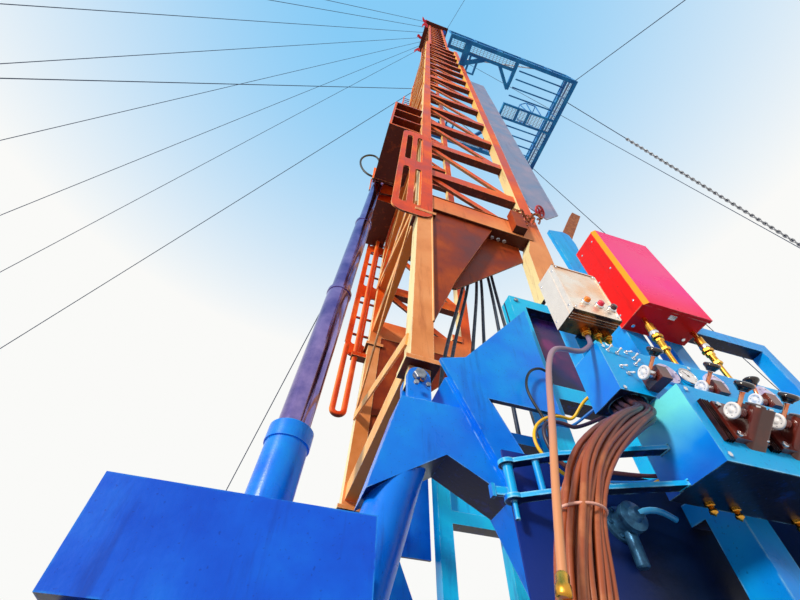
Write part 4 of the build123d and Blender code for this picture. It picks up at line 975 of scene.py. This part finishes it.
class RIG_OT_panel_fittings(bpy.types.Operator):
    """Gauge, toggles, bolts, slatted plates and bolted rims on the console"""

    bl_idname = "rig.panel_fittings"
    bl_label = "Panel fittings"

    def execute(self, context):
        self.gauge()
        self.hardware()
        self.under_box()
        self.valve_behind()
        self.plates()
        return {"FINISHED"}

    @staticmethod
    def gauge():
        """Rim, face, ticks and needle of the pressure gauge."""
        gauge = Shape()
        place = Vector((-0.017, PANEL_FRONT, 2.462))
        rim = [(0, 0), (0.031, 0), (0.031, 0.008), (0.0300, 0.0112), (0.0285, 0.0116), (0.0275, 0.0096)]
        gauge.turned(rim, place, OUT, 0, 48)
        gauge.turned([(0.0275, 0.0094), (0, 0.0096)], place, OUT, 1, 48, False)
        for step in range(21):
            angle = math.radians(225 - 13.5 * step)
            way = Vector((math.cos(angle), 0, math.sin(angle)))
            long = 0.0045 if step % 5 == 0 else 0.0026
            root = place + OUT * 0.0097 + way * (0.0258 - long)
            gauge.bar(root, root + way * long, 0.0007, 0.0004, OUT, 2)
        needle = Vector((math.cos(2.2), 0, math.sin(2.2)))
        pin = place + OUT * 0.0103
        gauge.bar(pin - needle * 0.006, pin + needle * 0.020, 0.0012, 0.0006, OUT, 2)
        gauge.turned([(0.003, 0.0095), (0.003, 0.0112), (0, 0.0114)], place, OUT, 2, 16)
        finishes = ["bright_turned_steel", "white_nylon", "phenolic_resin"]
        gauge.piece("pressure_gauge_face", finishes, RIG, 0, ("pressure_gauge",))

    @staticmethod
    def hardware():
        """Bolted rims, toggles and screws on the console's two fronts."""
        fittings = Shape()
        for x, z in ((-0.093, 2.452), (0.091, 2.466), (0.293, 2.471)):
            centre = Vector((x, PANEL_FRONT - 0.009, z))
            for x_way, z_way in circle(6, 0.3):
                fittings.nut(centre + Vector((x_way, 0, z_way)) * 0.030, OUT, 0.0062, 0.0032, 0)
            fittings.turned([(0.016, 0), (0.016, 0.003), (0.012, 0.006), (0, 0.007)], centre, OUT, 0, 24)
        toggles = ((-0.244, 2.494), (-0.207, 2.508), (-0.190, 2.488), (-0.257, 2.437))
        toggles += ((-0.196, 2.462), (-0.172, 2.449), (-0.275, 2.497), (-0.244, 2.414))
        for number, (x, z) in enumerate(toggles):
            root = Vector((x, PANEL_FRONT, z))
            fittings.nut(root, OUT, 0.012, 0.0030, 1)
            fittings.turned([(0.0042, 0.002), (0.0042, 0.0075), (0.0030, 0.0090)], root, OUT, 1, 16)
            way = Vector((0.5, -1, -0.9 if number % 2 else 0.5)).normalized()
            bat = [(0.0016, 0), (0.0020, 0.008), (0.0034, 0.012), (0.0032, 0.016), (0, 0.017)]
            fittings.turned(bat, root + OUT * 0.007, way, 2, 14)
        for x in (-0.285, 0.02, 0.38, 0.78):
            for z in (PANEL_TOP - 0.014, 2.352 if x < -0.2 else PANEL_TOP - 0.150):
                fittings.nut(Vector((x, PANEL_FRONT, z)), OUT, 0.011, 0.005, 1)
        for x in (-0.170, 0.25, 0.40, 0.60, 0.78):
            for z in (2.320, 2.134):
                fittings.nut(Vector((x, LOWER_FRONT, z)), OUT, 0.012, 0.005, 1)
        fittings.piece("panel_hardware", ["valve_cap_enamel", "bright_turned_steel", "white_nylon"])

    @staticmethod
    def plates():
        """Slatted plate and bolted cover beside each valve of the lower box."""
        slats = Shape()
        for pivot_x, _, pivot_z, _ in (LEVER_PLACES[2], LEVER_PLACES[3], LEVER_PLACES[5]):
            for step in range(4):
                x = pivot_x - 0.036 - step * 0.0070
                low = (x - 0.0012, LOWER_FRONT - 0.012, pivot_z - 0.064)
                slats.prism(low, (x + 0.0012, LOWER_FRONT, pivot_z + 0.052), 0)
            for z in (pivot_z - 0.048, pivot_z + 0.036):
                for x in (pivot_x - 0.022, pivot_x + 0.054):
                    slats.nut(Vector((x, LOWER_FRONT - 0.016, z)), OUT, 0.013, 0.007, 1)
            middle = Vector((pivot_x + 0.034, LOWER_FRONT - LOWER_REACH, pivot_z))
            turn = frame_of(STEM_WAY, (1, 0, 0))
            for a in (-0.019, 0.019):
                for b in (-0.021, 0.021):
                    spot = middle + turn @ Vector((a, b, 0.022))
                    slats.nut(spot, STEM_WAY, 0.009, 0.004, 1)
            cover = [(0.020, 0.022), (0.020, 0.026), (0.014, 0.029), (0, 0.030)]
            slats.turned(cover, middle, STEM_WAY, 2, 28)
        finishes = ["black_oxide_steel", "bright_turned_steel", "brown_painted_cast_iron"]
        slats.piece("valve_plates", finishes, RIG, 0.0005)

    @staticmethod
    def under_box():
        """Brass outlets under the lower box, and the welds where the hose bars meet it."""
        outlets = Shape()
        profile = [(0.0070, 0.008), (0.0070, 0.016), (0.0095, 0.017)]
        profile += [(0.0095, 0.024), (0.0060, 0.026), (0, 0.033)]
        for x in (-0.090, -0.012, 0.180):
            root = Vector((x, -1.605, 2.117))
            outlets.nut(root, DOWN, 0.020, 0.008, 0)
            outlets.turned(profile, root, DOWN, 0, 20)
        outlets.piece("box_outlets", ["turned_brass"])
        welds = Shape()
        for z in (2.119, 2.131, 2.214, 2.226):
            route = [Vector((-0.1885, -1.660 + 0.004 * k, z + 0.0012 * math.sin(k * 2.3))) for k in range(10)]
            welds.tube(route, 0.0032, 0, 8)
        welds.piece("bar_welds", ["post_blue_enamel"])

    @staticmethod
    def valve_behind():
        """Lever valve on the stand's cover, behind the hose bars."""
        valve = Shape()
        root = Vector((-0.215, -1.430, 2.120))
        body = [(0.046, 0), (0.046, 0.010), (0.032, 0.012), (0.029, 0.040), (0.038, 0.042)]
        body += [(0.038, 0.058), (0.020, 0.062), (0.015, 0.078), (0, 0.078)]
        valve.turned(body, root, OUT, 0, 36)
        for x_way, z_way in circle(6):
            valve.nut(root + Vector((0.038 * x_way, -0.010, 0.038 * z_way)), OUT, 0.010, 0.005, 0)
        hub = root + OUT * 0.072
        grip = []
        for k in range(7):
            grip.append(hub + Vector((0.020 * k, -0.004 * math.sin(k * 0.6), 0.014 * math.sin(k * 0.5))))
        valve.tube(grip, 0.008, 1, 12)
        valve.rod(root + Vector((0, -0.022, -0.024)), root + Vector((0, -0.022, -0.110)), 0.016, 0, 20)
        valve.piece("lever_valve", ["cast_valve_steel", "cyan_lever_paint"], RIG, 0.001)


class RIG_OT_button_box(bpy.types.Operator):
    """Buttons, lid rim, screws, drip lips, nuts and yellow leads of the stainless box"""

    bl_idname = "rig.button_box"
    bl_label = "Button box"

    def execute(self, context):
        self.buttons()
        self.trim()
        self.nuts()
        for number, x in enumerate(GLANDS[1:]):
            top = Vector((x, GLAND_Y, BOX_BOTTOM - 0.0325))
            bends = [(0.001, 0, -0.012), (0.004, 0.004, -0.024)]
            bends += [(0.005, 0.006, -0.0325), (0.005, 0.0065, -0.0433)]
            route = [top, *(top + Vector(bend) for bend in bends)]
            run_cord(f"yellow_lead_{number + 1}", route, 0.0068, "yellow_pvc_cable")
        return {"FINISHED"}

    @staticmethod
    def buttons():
        """Three push buttons in bright collars."""
        buttons = Shape()
        collar = [(0, 0), (0.0140, 0), (0.0140, 0.0045), (0.0125, 0.0070), (0.0105, 0.0072)]
        cap = [(0.0104, 0.004), (0.0104, 0.015), (0.0098, 0.0175), (0.0070, 0.0192), (0, 0.0196)]
        for number, x in enumerate((0.064, 0.114, 0.161)):
            root = Vector((BOX_LEFT + x, BOX_FRONT, BOX_BOTTOM + 0.059))
            buttons.turned(collar, root, OUT, 3, 32)
            buttons.turned(cap, root, OUT, number, 32)
        finishes = ["signal_orange_acetal", "signal_red_acetal", "dark_acetal", "bright_turned_steel"]
        buttons.piece("push_button_caps", finishes, RIG, 0, ("push_buttons",))

    @staticmethod
    def trim():
        """Lid rim, screws, seam and drip lips."""
        left, right, bottom, top, front = BOX_LEFT, -0.206, BOX_BOTTOM, 2.850, BOX_FRONT
        trim = Shape()
        rim = 0.006
        lift = 0.003
        edges = (
            ((left, bottom), (left + rim, top)),
            ((right - rim, bottom), (right, top)),
            ((left, top - rim), (right, top)),
            ((left, bottom), (right, bottom + rim)),
        )
        for (x0, z0), (x1, z1) in edges:
            trim.prism((x0, front - lift, z0), (x1, front, z1), 0)
        z = bottom - 0.0015
        for step in range(3):
            y = front + 0.012 + step * 0.010
            trim.prism((left + 0.004, y, z - 0.004), (right - 0.004, y + 0.003, z + 0.0012), 0)
        for x in (left + 0.012, right - 0.012):
            for z in (bottom + 0.014, top - 0.014):
                root = Vector((x, front - lift, z))
                trim.turned([(0.0042, 0), (0.0040, 0.0016), (0.0030, 0.0024), (0, 0.0026)], root, OUT, 1, 18)
        for y in (-1.736, -1.664):
            for z in (bottom + 0.03, top - 0.03):
                trim.turned([(0.004, 0), (0.0036, 0.0018), (0, 0.0024)], (left, y, z), (-1, 0, 0), 1, 18)
        trim.prism((left - 0.0012, front + 0.020, bottom), (left, front + 0.022, top), 0)
        trim.piece("button_box_trim", ["ground_stainless_steel", "bright_turned_steel"], RIG, 0.0006)

    @staticmethod
    def nuts():
        """Gland nuts under the box, and the unions of the two swivels under the cabinet."""
        nuts = Shape()
        for x in GLANDS:
            nuts.nut(Vector((x, GLAND_Y, BOX_BOTTOM)), DOWN, 0.024, 0.005, 0)
            nuts.nut(Vector((x, GLAND_Y, BOX_BOTTOM - 0.011)), DOWN, 0.026, 0.008, 0)
            nuts.ring(Vector((x, GLAND_Y, BOX_BOTTOM - 0.024)), -DOWN, 0.0095, 0.0022, 0, 28, 8)
        swivel_y = -1.653
        for x in (0.062, 0.282):
            for z, across in ((2.782, 0.026), (2.722, 0.034), (2.704, 0.026), (2.660, 0.028)):
                nuts.nut(Vector((x, swivel_y, z)), DOWN, across, 0.012, 0)
            nuts.turned([(0.0165, 0), (0.0175, 0.008), (0.0165, 0.016)], (x, swivel_y, 2.744), DOWN, 1, 28)
            nuts.nut(Vector((x, swivel_y, 2.558)), -DOWN, 0.032, 0.012, 0)
        nuts.piece("fitting_nuts", ["turned_brass", "bright_turned_steel"], RIG, 0)


class RIG_OT_cabinet(bpy.types.Operator):
    """Screws, hinge and latch of the red cabinet"""

    bl_idname = "rig.cabinet"
    bl_label = "Red cabinet"

    def execute(self, context):
        left, right, bottom, top, front = 0.012, 0.302, 2.822, 3.372, -1.712
        trim = Shape()
        for y in (-1.690, -1.610):
            for z in (bottom + 0.05, (bottom + top) / 2, top - 0.05):
                trim.turned([(0.005, 0), (0.0045, 0.002), (0, 0.0028)], (left, y, z), (-1, 0, 0), 1, 18)
        for z in (bottom + 0.10, top - 0.10):
            trim.rod((right, front - 0.004, z - 0.03), (right, front - 0.004, z + 0.03), 0.006, 1)
            trim.prism((right, front - 0.003, z - 0.028), (right + 0.0045, front + 0.030, z + 0.028), 0)
        trim.prism((left + 0.13, front + 0.010, bottom - 0.004), (left + 0.16, front + 0.030, bottom), 1)
        for x in (left + 0.03, right - 0.03):
            trim.nut((x, front + 0.10, bottom), DOWN, 0.014, 0.005, 1)
        trim.piece("cabinet_trim", ["cabinet_red_enamel", "bright_turned_steel"], RIG, 0.0006)
        return {"FINISHED"}


class RIG_OT_mast_fittings(bpy.types.Operator):
    """Valve wheel, chain, block, bolts, hinge-pin keepers and weld beads on the mast"""

    bl_idname = "rig.mast_fittings"
    bl_label = "Mast fittings"

    def execute(self, context):
        for part in (self.wheel, self.chain, self.block, self.bolts, self.keepers, self.welds):
            part()
        return {"FINISHED"}

    @staticmethod
    def wheel():
        """Hand wheel with five spokes on its stem."""
        wheel = Shape()
        centre = mast_point(0.70, NEAR_FACE - 0.055, 2.68)
        way = Vector((0.35, -0.75, -0.45))
        wheel.ring(centre, way, 0.066, 0.012, 0, 44, 12)
        turn = frame_of(way)
        for x_way, y_way in circle(5):
            spoke = turn @ Vector((x_way, y_way, 0))
            wheel.tube([centre + spoke * 0.016, centre + spoke * 0.065], 0.008, 0, 10)
        wheel.turned([(0.024, -0.012), (0.026, 0.0), (0.024, 0.014), (0, 0.016)], centre, way, 0, 24)
        wheel.turned([(0.012, -0.11), (0.012, 0.02)], centre, way, 1, 16)
        wheel.turned([(0.040, -0.19), (0.046, -0.16), (0.046, -0.12), (0.030, -0.10)], centre, way, 1, 24)
        wheel.piece("valve_wheel", ["red_wheel_paint", "sand_cast_iron"])

    @staticmethod
    def chain():
        """Chain swagged along the portal beam, with five short drops."""
        chain = Shape()
        dice = random.Random(11)
        path = []
        for step in range(46):
            t = step / 45
            y = NEAR_FACE - 0.065 - 0.03 * math.sin(t * math.pi * 3)
            drop = 0.05 * math.sin(t * math.pi * 5.0) + 0.06 * math.sin(t * math.pi)
            path.append(mast_point(0.36 + 0.30 * t, y, 2.47 - drop + 0.02 * dice.random()))
        chain_links(chain, path, 0.022, 0.0052)
        for number in range(5):
            anchor = mast_point(0.38 + 0.06 * number, NEAR_FACE - 0.05, 2.46)
            path = []
            for k in range(4 + number % 2):
                path.append(anchor + Vector((0.012 * math.sin(k), -0.015 * math.sin(k * 1.3), -0.028 * k)))
            chain_links(chain, path, 0.022, 0.0052)
        chain.piece("portal_chain", ["rusted_mild_steel"])

    @staticmethod
    def block():
        """Steel block on the near face of the portal beam."""
        block = Shape()
        foot, head = (mast_point(0.36, NEAR_FACE - 0.040, up) for up in (2.06, 2.40))
        block.bar(foot, head, 0.120, 0.080, (1, 0, 0))
        # Dark brown of the painted-shade orange enamel
        block.piece("portal_block", ["gusset_rust_enamel"], RIG, 0.003)

    @staticmethod
    def bolts():
        """Bolts of the clevises, of the near cheek plate and under the portal beams."""
        bolts = Shape()
        for side in (-1, 1):
            for x in (-0.6, -0.54):
                bolts.nut((x, side * 0.923, 2.93), (0, side, 0), 0.024, 0.012, 0)
            for across in (-0.14, -0.08, -0.02, 0.04, 0.10, 0.16, 0.22):
                bolts.nut(mast_point(across, side * 0.842, 1.925), DOWN, 0.030, 0.014, 0)
        for z in (3.99, 3.17):
            for x in (0.20, 0.50, 0.80):
                bolts.nut((x, -0.850, z), OUT, 0.030, 0.014, 0)
        bolts.piece("structure_bolts", ["galvanised_steel"])

    @staticmethod
    def keepers():
        """Nut and bent split pin at each end of the mast pins."""
        keepers = Shape()
        for side in (-1, 1):
            for end in (-1, 1):
                tip = Vector((-0.570, side * 0.825 + end * 0.069, PIN_HEIGHT))
                keepers.nut(tip, (0, end, 0), 0.060, 0.022, 0)
                bends = ((0, end * 0.012, 0.034), (0, end * 0.012, -0.040), (0.01, end * 0.02, -0.055))
                keepers.tube([tip + Vector(bend) for bend in bends], 0.0035, 1, 8)
        keepers.piece("pin_keepers", ["galvanised_steel", "rusted_mild_steel"])

    @staticmethod
    def welds():
        """Weld beads along the near and far side frames' beams and legs."""
        welds = Shape()
        for side in (-1, 1):
            y = side * 0.892
            seams = [
                ((-0.49, y, 2.015), (0.505, y, 2.015)),
                ((-0.49, y, 2.305), (0.505, y, 2.305)),
                ((-0.49, y, 0.43), (-0.49, y, 2.01)),
            ]
            for a, b in seams:
                start, end = mast_point(*a), mast_point(*b)
                count = int((end - start).length / 0.012)
                route = []
                for k in range(count + 1):
                    route.append(start.lerp(end, k / count) + Vector((0, 0, 0.0015 * math.sin(k * 2.1))))
                welds.tube(route, 0.007, 0, 6)
        welds.piece("weld_beads", ["mast_orange_enamel"])


class RIG_OT_board_fittings(bpy.types.Operator):
    """Grating and toe boards of the racking board, and chain on its guy"""

    bl_idname = "rig.board_fittings"
    bl_label = "Board fittings"

    def execute(self, context):
        self.grating()
        self.toe_boards()
        chain = Shape()
        start = Vector((4.880, -0.950, 16.560))
        end = Vector((17.0, 0.420, 0.140))
        chain_links(chain, [start.lerp(end, 0.12 + 0.80 * k / 60) for k in range(61)], 0.085, 0.016)
        chain.piece("board_guy_chain", ["galvanised_steel"])
        return {"FINISHED"}

    @staticmethod
    def grating():
        """Bearing bars along each walkway and cross rods over them."""
        grate = Shape()
        areas = (
            (0.58, 2.80, -1.54, -1.26),
            (0.58, 2.80, 1.09, 1.37),
            (2.95, 4.40, -0.27, 0.10),
            (4.54, 4.78, -1.50, 1.33),
        )
        for x0, x1, y0, y1 in areas:
            along_x = (x1 - x0) > (y1 - y0)
            bearers = (0.045, 0.004, 0.045, 0.005, along_x)
            rods = (0.11, 0.005, 0.024, 0.004, not along_x)
            for pitch, half, drop, lip, runs_along_x in (bearers, rods):
                span = (y1 - y0) if runs_along_x else (x1 - x0)
                count = int(span / pitch)
                for k in range(count + 1):
                    if runs_along_x:
                        y = y0 + span * (k / count)
                        low, high = (x0, y - half), (x1, y + half)
                    else:
                        x = x0 + span * (k / count)
                        low, high = (x - half, y0), (x + half, y1)
                    grate.prism((*low, BOARD_TOP - drop), (*high, BOARD_TOP - lip), 0)
        grate.piece("walkway_grating", ["galvanised_steel"])

    @staticmethod
    def toe_boards():
        """Boards on edge along the two sides and the outer end of the walkways."""
        toe = Shape()
        for y0, y1 in ((-1.600, -1.590), (1.420, 1.430)):
            toe.prism((0.53, y0, BOARD_TOP), (4.88, y1, BOARD_TOP + 0.15), 0)
        toe.prism((4.870, -1.600, BOARD_TOP), (4.880, 1.430, BOARD_TOP + 0.15), 0)
        toe.piece("toe_boards", ["board_blue_enamel"], RIG, 0.001)


class RIG_OT_crown_fittings(bpy.types.Operator):
    """Sheaves, bunting and a block at the crown"""

    bl_idname = "rig.crown_fittings"
    bl_label = "Crown fittings"

    def execute(self, context):
        self.sheaves()
        self.bunting()
        block = Shape()
        spot = mast_point(0.62, -0.62, 30.70)
        block.prism(spot - Vector((0.11, 0.10, 0.16)), spot + Vector((0.11, 0.10, 0.10)), 0, 0.03)
        block.piece("crown_block", ["blue_nylon_block"], RIG, 0.01)
        return {"FINISHED"}

    @staticmethod
    def sheaves():
        """Four grooved sheaves on one shaft."""
        sheaves = Shape()
        centre = mast_point(0.12, 0, 31.02)
        half = [(0.055, 0.0245), (0.30, 0.0250), (0.38, 0.0250), (0.38, 0.020), (0.352, 0.008)]
        groove = [(radius, -height) for radius, height in half] + half[::-1]
        for number in range(4):
            sheaves.turned(groove, centre + Vector((0, (number - 1.5) * 0.095, 0)), (0, 1, 0), 0, 48)
        shaft = Vector((0, 0.2297, 0))
        sheaves.rod(centre - shaft, centre + shaft, 0.055, 1)
        finishes = ["sand_cast_iron", "bright_turned_steel"]
        sheaves.piece("crown_sheave_set", finishes, RIG, 0, ("crown_sheaves",))

    @staticmethod
    def bunting():
        """Four strips of cloth that hang from the crown and the upper section."""
        strips = [(-0.70, -0.86, 30.86, 0.75), (-0.70, 0.10, 30.95, 0.65)]
        strips += [(-0.60, -0.80, 27.6, 0.70), (-0.62, 0.62, 29.0, 0.6)]
        width, rows = 0.16, 16
        for number, (across, y, up, long) in enumerate(strips):
            root = mast_point(across, y, up)
            strip = Shape()
            points, faces = [], []
            for k in range(rows + 1):
                t = k / rows
                sway = 0.10 * math.sin(t * 5.0 + number) * t
                middle = root + Vector((-0.35 * t + 0.04, sway, -long * t))
                for side in (-1, 0, 1):
                    points.append(middle + Vector((0.02 * math.sin(6 * t + side), side * width / 2, 0)))
            for k in range(rows):
                for side in range(2):
                    a = k * 3 + side
                    faces.append((a, a + 1, a + 4, a + 3))
            strip.add(points, faces)
            made = strip.piece(f"bunting_{number + 1}", ["red_bunting_nylon"])


class RIG_OT_ground_fittings(bpy.types.Operator):
    """Turnbuckle, eye, foot plate and rope clips at the ground end of each guy"""

    bl_idname = "rig.ground_fittings"
    bl_label = "Ground fittings"

    def execute(self, context):
        fittings = Shape()
        plate = [(0.085, 0), (0.080, 0.012), (0.022, 0.018), (0.022, 0.03), (0, 0.032)]
        for head, ground in self.guy_lines():
            foot = Vector((*ground, 0.120))
            way = (head - foot).normalized()
            for a, b, radius in ((0.55, 1.05, 0.030), (0.42, 0.55, 0.014), (1.05, 1.30, 0.014)):
                fittings.rod(foot + way * a, foot + way * b, radius, 0, 14)
            eye = foot + way * 0.34
            fittings.ring(eye, way.cross(Vector((0, 0, 1))), 0.050, 0.014, 0, 24, 8)
            fittings.turned(plate, (*ground, 0.180), (0, 0, 1), 0, 24)
            side = way.cross(Vector((0, 0, 1))).normalized()
            for number in range(3):
                clip = foot + way * (1.45 + 0.14 * number)
                fittings.ring(clip, way, 0.017, 0.007, 0, 16, 8)
                fittings.rod(clip - side * 0.022, clip + side * 0.030, 0.008, 0, 10)
        fittings.piece("guy_turnbuckles", ["galvanised_steel"])
        return {"FINISHED"}

    @staticmethod
    def guy_lines():
        """Head of each guy and its anchor on the ground, as in the source."""
        crown_up, board_z, reach = 30.82, 16.56, 17.0
        rear = ((-0.8, -0.4), (-0.5, 0.15), (-0.2, 1.6), (0.1, 3.5), (0.35, 6.3), (0.6, 9.4), (0.85, 12.0))
        lines = [(mast_point(-0.690, y, crown_up), (-reach, ground)) for y, ground in rear]
        mast = (
            (0.810, 0.3, crown_up, (reach, -0.12)),
            (0.750, -0.9, crown_up, (2.76, -reach)),
            (-0.62, 0.825, 17.1, (-reach, 2.05)),
            (-0.62, 0.845, 16.4, (-reach, 14.6)),
            (-0.61, 0.890, 8.255, (-4.8, reach)),
        )
        lines += [(mast_point(*head), ground) for *head, ground in mast]
        board = ((4.80, -1.60, (8.08, -reach)), (4.88, -0.95, (reach, 0.42)), (4.88, 1.37, (reach, 4.16)))
        lines += [(Vector((x, y, board_z)), ground) for x, y, ground in board]
        return lines


def seen_straight(tree):
    """1 for rays that come from the camera, by way of a mirror or clear cover too."""
    rays = node(tree, "ShaderNodeLightPath").outputs
    mirrored = combined(tree, "MAXIMUM", rays["Is Camera Ray"], rays["Is Glossy Ray"])
    return combined(tree, "MAXIMUM", mirrored, rays["Is Transmission Ray"])


class RIG_OT_stage(bpy.types.Operator):
    """Pale floor and backdrop, soft light and the camera"""

    bl_idname = "rig.stage"
    bl_label = "Stage"

    def execute(self, context):
        scene = context.scene
        sizes, colours = scene.rig_stage, scene.rig_colours
        scene.view_settings.view_transform = "Standard"
        world = bpy.data.worlds.new("pale_backdrop")
        scene.world = world
        world.use_nodes = True
        tree = world.node_tree
        tree.nodes.clear()
        way = node(tree, "ShaderNodeTexCoord").outputs["Generated"]
        height = node(tree, "ShaderNodeSeparateXYZ", {0: way}).outputs["Z"]
        tint = mixed(tree, level(tree, height, 0.70, 0.99), colours.low_sky, colours.high_sky)
        seen = node(tree, "ShaderNodeBackground", {"Color": tint, "Strength": 1.0}).outputs[0]
        even = {"Color": linear("#FFFFFF"), "Strength": sizes.sky_strength}
        light = node(tree, "ShaderNodeBackground", even).outputs[0]
        sky = node(tree, "ShaderNodeMixShader", {0: seen_straight(tree), 1: light, 2: seen})
        node(tree, "ShaderNodeOutputWorld", {0: sky.outputs[0]})

        half = sizes.floor_half
        floor = bpy.data.meshes.new("pale_floor")
        corners = ((-half, -half), (half, -half), (half, half), (-half, half))
        floor.from_pydata([(x, y, -0.001) for x, y in corners], [], [(0, 1, 2, 3)])
        made = bpy.data.objects.new("pale_floor", floor)
        scene.collection.objects.link(made)
        material = bpy.data.materials.new("matt_floor_paint")
        material.use_nodes = True
        tree = material.node_tree
        shader = tree.nodes["Principled BSDF"]
        paint = mixed(tree, seen_straight(tree), "#A0A0A0", colours.floor)
        tree.links.new(paint, shader.inputs["Base Color"])
        shader.inputs["Roughness"].default_value = 0.9
        floor.materials.append(material)

        sun = bpy.data.lights.new("soft_sun", "SUN")
        sun.energy = sizes.sun_strength
        sun.angle = math.radians(9)
        sun.color = linear("#FFF4E4")[:3]
        lamp = bpy.data.objects.new("soft_sun", sun)
        lamp.rotation_euler = Vector((-0.80, -0.58, 0.42)).to_track_quat("Z", "Y").to_euler()
        scene.collection.objects.link(lamp)

        camera = bpy.data.cameras.new("view")
        camera.lens = sizes.lens
        camera.sensor_width = 36.0
        camera.clip_start = 0.02
        camera.clip_end = 400.0
        eye = bpy.data.objects.new("view", camera)
        right = Vector((0.9534, -0.3014, 0.0153))
        up = Vector((-0.2484, -0.7550, 0.6069))
        forward = right.cross(up).normalized() * -1
        up = (up - forward * up.dot(forward)).normalized()
        right = forward.cross(up)
        turn = Matrix((right, up, -forward)).transposed()
        eye.matrix_world = Matrix.Translation((-1.1085, -2.345, 1.6)) @ turn.to_4x4()
        scene.collection.objects.link(eye)
        scene.camera = eye
        return {"FINISHED"}


class RIG_PT_panel(bpy.types.Panel):
    """Lists the rig's operators and sizes"""

    bl_idname = "RIG_PT_panel"
    bl_label = "Workover rig"
    bl_space_type = "VIEW_3D"
    bl_region_type = "UI"
    bl_category = "Rig"

    def draw(self, context):
        for operator in OPERATORS:
            self.layout.operator(operator.bl_idname)
        for group, settings in SETTINGS.items():
            for name in settings.__annotations__:
                self.layout.prop(getattr(context.scene, group), name)


OPERATORS = (
    RIG_OT_stage,
    RIG_OT_finishes,
    RIG_OT_cords,
    RIG_OT_levers,
    RIG_OT_panel_fittings,
    RIG_OT_button_box,
    RIG_OT_cabinet,
    RIG_OT_mast_fittings,
    RIG_OT_board_fittings,
    RIG_OT_crown_fittings,
    RIG_OT_ground_fittings,
)
SETTINGS = {
    "rig_stage": StageSettings,
    "rig_levers": LeverSettings,
    "rig_hoses": HoseSettings,
    "rig_colours": ColourSettings,
}


def register():
    """Registers the settings, operators and panel."""
    for group in (*SETTINGS.values(), *OPERATORS, RIG_PT_panel):
        bpy.utils.register_class(group)
    for name, settings in SETTINGS.items():
        setattr(bpy.types.Scene, name, bpy.props.PointerProperty(type=settings))


def unregister():
    """Takes everything off again."""
    for name in SETTINGS:
        delattr(bpy.types.Scene, name)
    for group in (RIG_PT_panel, *reversed(OPERATORS), *SETTINGS.values()):
        bpy.utils.unregister_class(group)


def main():
    """Builds the dressed rig."""
    register()
    for operator in OPERATORS:
        family, name = operator.bl_idname.split(".")
        getattr(getattr(bpy.ops, family), name)()


if __name__ == "__main__":
    main()
